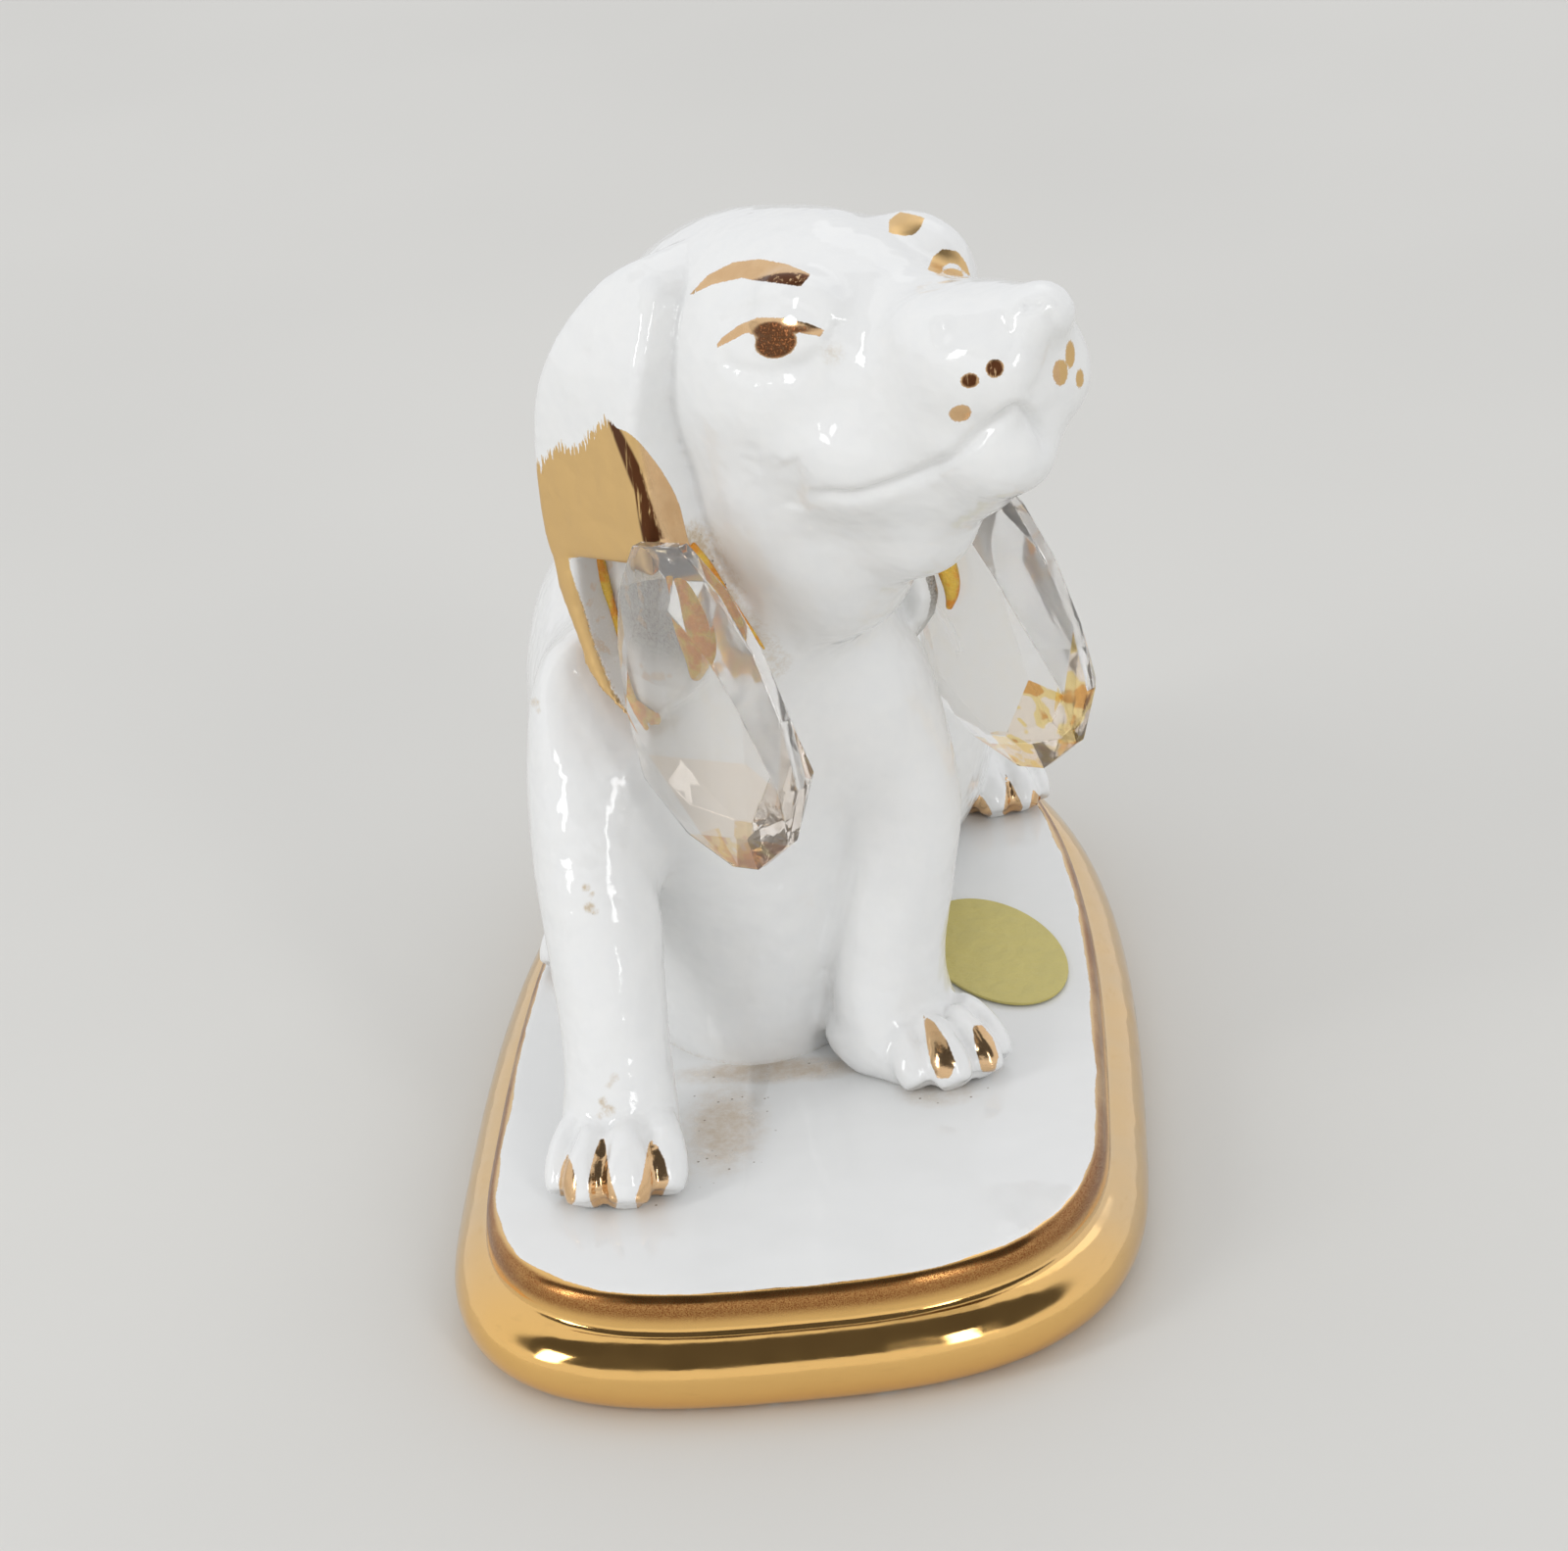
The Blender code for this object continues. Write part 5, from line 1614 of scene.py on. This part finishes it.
def build_label(settings):
    """The oval paper label, its cut edge very slightly rounded."""
    thickness = settings.thickness * 1000
    bm = bmesh.new()
    place = Matrix.Translation((*LABEL_CENTRE, PLINTH_TOP + LABEL_GAP + thickness / 2))
    scale = Matrix.Diagonal((*LABEL_SIZE, thickness, 1.0))
    matrix = place @ Matrix.Rotation(LABEL_TURN, 4, "Z") @ scale
    bmesh.ops.create_cone(
        bm, cap_ends=True, segments=96, radius1=0.5, radius2=0.5, depth=1.0, matrix=matrix
    )
    flat = [e for e in bm.edges if abs(e.verts[0].co.z - e.verts[1].co.z) < 1e-6]
    round_edges(bm, flat, LABEL_EDGE, 2)
    return settle("paper_label", as_mesh(bm, "paper_label"), foil_paper(settings), ["label"])


# Colours of the label's faded and rubbed places
FADED_PAPER = (0.54, 0.47, 0.17, 1)
RUBBED_PAPER = (0.42, 0.36, 0.16, 1)


def foil_paper(settings):
    """Pale yellow paper with a faint foil sheen and rubbed places."""
    recipe = Recipe("foil_paper")
    place = recipe.place()
    cloud = recipe.noise(place, 0.25, 4.0)
    fine = recipe.noise(place, 3.0, 4.0)
    colour = recipe.mix(cloud.rise(0.35, 0.7) * 0.5, (*settings.paper, 1), FADED_PAPER)
    colour = recipe.mix(fine.rise(0.55, 0.8) * 0.25, colour, RUBBED_PAPER)
    return recipe.finish(
        recipe.surface(
            base_color=colour,
            metallic=0.25,
            roughness=0.38 + fine * 0.1,
            normal=recipe.bump(recipe.noise(place, 0.5, 3.0), 0.0002),
        )
    )


# Stage

# The camera's nearest and farthest reach in metres, and half the sweep's width
CLIP, SWEEP_SIZE = (0.01, 20), 3000.0
# Softboxes: place and size in metres, and share of the main power
SOFTBOXES = (
    ((-1.0, -0.62, 0.62), (0.22, 0.60), 0.62), ((0.62, -1.0, 0.66), (0.18, 0.60), 0.42),
    ((0.25, 0.9, 1.1), (0.8, 0.5), 0.14),
)
# The point that the softboxes are aimed at, in metres
AIM = (0, 0, 0.07)
# The room's dark part, which only shows in reflections: how far up and towards the viewer its
# middle lies, its half width and height, and how far it is raised
DARK_UP, DARK_AHEAD = 0.866, 0.5
DARK_WIDTH, DARK_HEIGHT, DARK_RAISED = 0.90, 0.62, 0.06
DARK_SHARE = 0.95
ROOM_LIGHT, ROOM_DARK = (0.98, 0.985, 1.0, 1), (0.03, 0.025, 0.02, 1)


def studio_room(settings):
    """Pale light from all round, and the dark part of the room for glossy rays alone."""
    recipe = Recipe("room", "worlds")
    way = recipe.node("ShaderNodeTexCoord", {}, {}, "Generated")
    split = recipe.node("ShaderNodeSeparateXYZ", {}, {0: way})
    across, along, height = (split.output(axis) for axis in "XYZ")
    overhead = (along * DARK_UP + height * DARK_AHEAD - DARK_RAISED) / DARK_HEIGHT
    span = (across / DARK_WIDTH) ** 2.0 + overhead ** 2.0
    facing = (height * DARK_UP - along * DARK_AHEAD).rise(-0.02, 0.02)
    dark = (1.0 - span.rise(0.92, 1.06)) * facing
    dark = dark * recipe.node("ShaderNodeLightPath", {}, {}, "Is Glossy Ray")
    colour = recipe.mix(dark * DARK_SHARE, ROOM_LIGHT, ROOM_DARK)
    values = {"Color": colour, "Strength": settings.daylight}
    bpy.context.scene.world = recipe.finish(recipe.node("ShaderNodeBackground", {}, values), "World")


def build_stage(settings):
    """The sweep, the softboxes, the room's light and the camera."""
    scene = bpy.context.scene
    data = bpy.data.cameras.new("camera")
    data.sensor_width, data.lens = SENSOR_WIDTH, LENS
    data.clip_start, data.clip_end = CLIP
    camera = bpy.data.objects.new("camera", data)
    scene.collection.objects.link(camera)
    turn = Matrix(sight_axes()).transposed().to_4x4()
    camera.matrix_world = Matrix.Translation(CAMERA_PLACE) @ turn
    scene.camera = camera
    bm = bmesh.new()
    bmesh.ops.create_grid(bm, x_segments=1, y_segments=1, size=SWEEP_SIZE)
    floor = bpy.data.objects.new("sweep", as_mesh(bm, "sweep"))
    scene.collection.objects.link(floor)
    floor.data.materials.append(paper_sweep(settings))
    for k, (place, (width, height), share) in enumerate(SOFTBOXES):
        lamp = bpy.data.lights.new("softbox_%d" % (k + 1), "AREA")
        lamp.shape, lamp.size, lamp.size_y = "RECTANGLE", width, height
        lamp.energy = settings.softbox * share
        box = bpy.data.objects.new(lamp.name, lamp)
        aim = (Vector(place) - Vector(AIM)).to_track_quat("Z", "Y").to_matrix()
        box.matrix_world = Matrix.Translation(place) @ aim.to_4x4()
        scene.collection.objects.link(box)
    studio_room(settings)
    scene.view_settings.view_transform = "Standard"


def paper_sweep(settings):
    """Matt pale paper, with faint darker clouds that are painted shade."""
    recipe = Recipe("paper_sweep")
    cloud = recipe.noise(recipe.place(), 0.004, 3.0)
    # Soft patches up to a twentieth darker: painted shade of the sweep's shadow bands
    low = tuple(c * 0.95 for c in settings.sweep)
    colour = recipe.mix(cloud.rise(0.3, 0.7), (*settings.sweep, 1), (*low, 1))
    return recipe.finish(recipe.surface(base_color=colour, roughness=0.75))


# Operators and panel


class FIGURINE_OT_plinth(bpy.types.Operator):
    """Builds the gilt-edged plinth"""

    bl_idname = "figurine.plinth"
    bl_label = "Build Plinth"

    def execute(self, context):
        build_plinth(context.scene.figurine_plinth)
        return {"FINISHED"}


class FIGURINE_OT_dog(bpy.types.Operator):
    """Builds the dog's glazed and gilded skin"""

    bl_idname = "figurine.dog"
    bl_label = "Build Dog"

    def execute(self, context):
        build_dog(context.scene.figurine_dog)
        return {"FINISHED"}


class FIGURINE_OT_drops(bpy.types.Operator):
    """Builds the two cut-glass drops"""

    bl_idname = "figurine.drops"
    bl_label = "Build Glass Drops"

    def execute(self, context):
        settings = context.scene.figurine_drops
        material = cut_glass(settings)
        for side in (-1, 1):
            build_drop(side, settings, material)
        return {"FINISHED"}


class FIGURINE_OT_cement(bpy.types.Operator):
    """Builds the beads of aged cement that hold the drops"""

    bl_idname = "figurine.cement"
    bl_label = "Build Cement"

    def execute(self, context):
        material = aged_cement(context.scene.figurine_drops)
        for side in (-1, 1):
            build_cement(side, material)
        return {"FINISHED"}


class FIGURINE_OT_label(bpy.types.Operator):
    """Builds the oval paper label"""

    bl_idname = "figurine.label"
    bl_label = "Build Label"

    def execute(self, context):
        build_label(context.scene.figurine_label)
        return {"FINISHED"}


class FIGURINE_OT_stage(bpy.types.Operator):
    """Builds the paper sweep, the softboxes and the camera"""

    bl_idname = "figurine.stage"
    bl_label = "Build Stage"

    def execute(self, context):
        build_stage(context.scene.figurine_stage)
        return {"FINISHED"}


OPERATORS = (
    FIGURINE_OT_plinth,
    FIGURINE_OT_dog,
    FIGURINE_OT_drops,
    FIGURINE_OT_cement,
    FIGURINE_OT_label,
    FIGURINE_OT_stage,
)
SETTINGS = {
    "figurine_plinth": PlinthSettings,
    "figurine_dog": DogSettings,
    "figurine_drops": DropSettings,
    "figurine_label": LabelSettings,
    "figurine_stage": StageSettings,
}


class FIGURINE_PT_build(bpy.types.Panel):
    """Lists the figurine's pieces and their settings"""

    bl_idname = "FIGURINE_PT_build"
    bl_label = "Porcelain Dog Figurine"
    bl_space_type = "VIEW_3D"
    bl_region_type = "UI"
    bl_category = "Figurine"

    def draw(self, context):
        for operator in OPERATORS:
            self.layout.operator(operator.bl_idname)
        for name, group in SETTINGS.items():
            box = self.layout.box()
            settings = getattr(context.scene, name)
            for key in group.__annotations__:
                box.prop(settings, key)


def register():
    for name, group in SETTINGS.items():
        bpy.utils.register_class(group)
        setattr(bpy.types.Scene, name, PointerProperty(type=group))
    for operator in OPERATORS:
        bpy.utils.register_class(operator)
    bpy.utils.register_class(FIGURINE_PT_build)


def unregister():
    bpy.utils.unregister_class(FIGURINE_PT_build)
    for operator in reversed(OPERATORS):
        bpy.utils.unregister_class(operator)
    for name, group in reversed(SETTINGS.items()):
        delattr(bpy.types.Scene, name)
        bpy.utils.unregister_class(group)


def main():
    register()
    bpy.ops.figurine.plinth()
    bpy.ops.figurine.dog()
    bpy.ops.figurine.drops()
    bpy.ops.figurine.cement()
    bpy.ops.figurine.label()
    bpy.ops.figurine.stage()


if __name__ == "__main__":
    main()
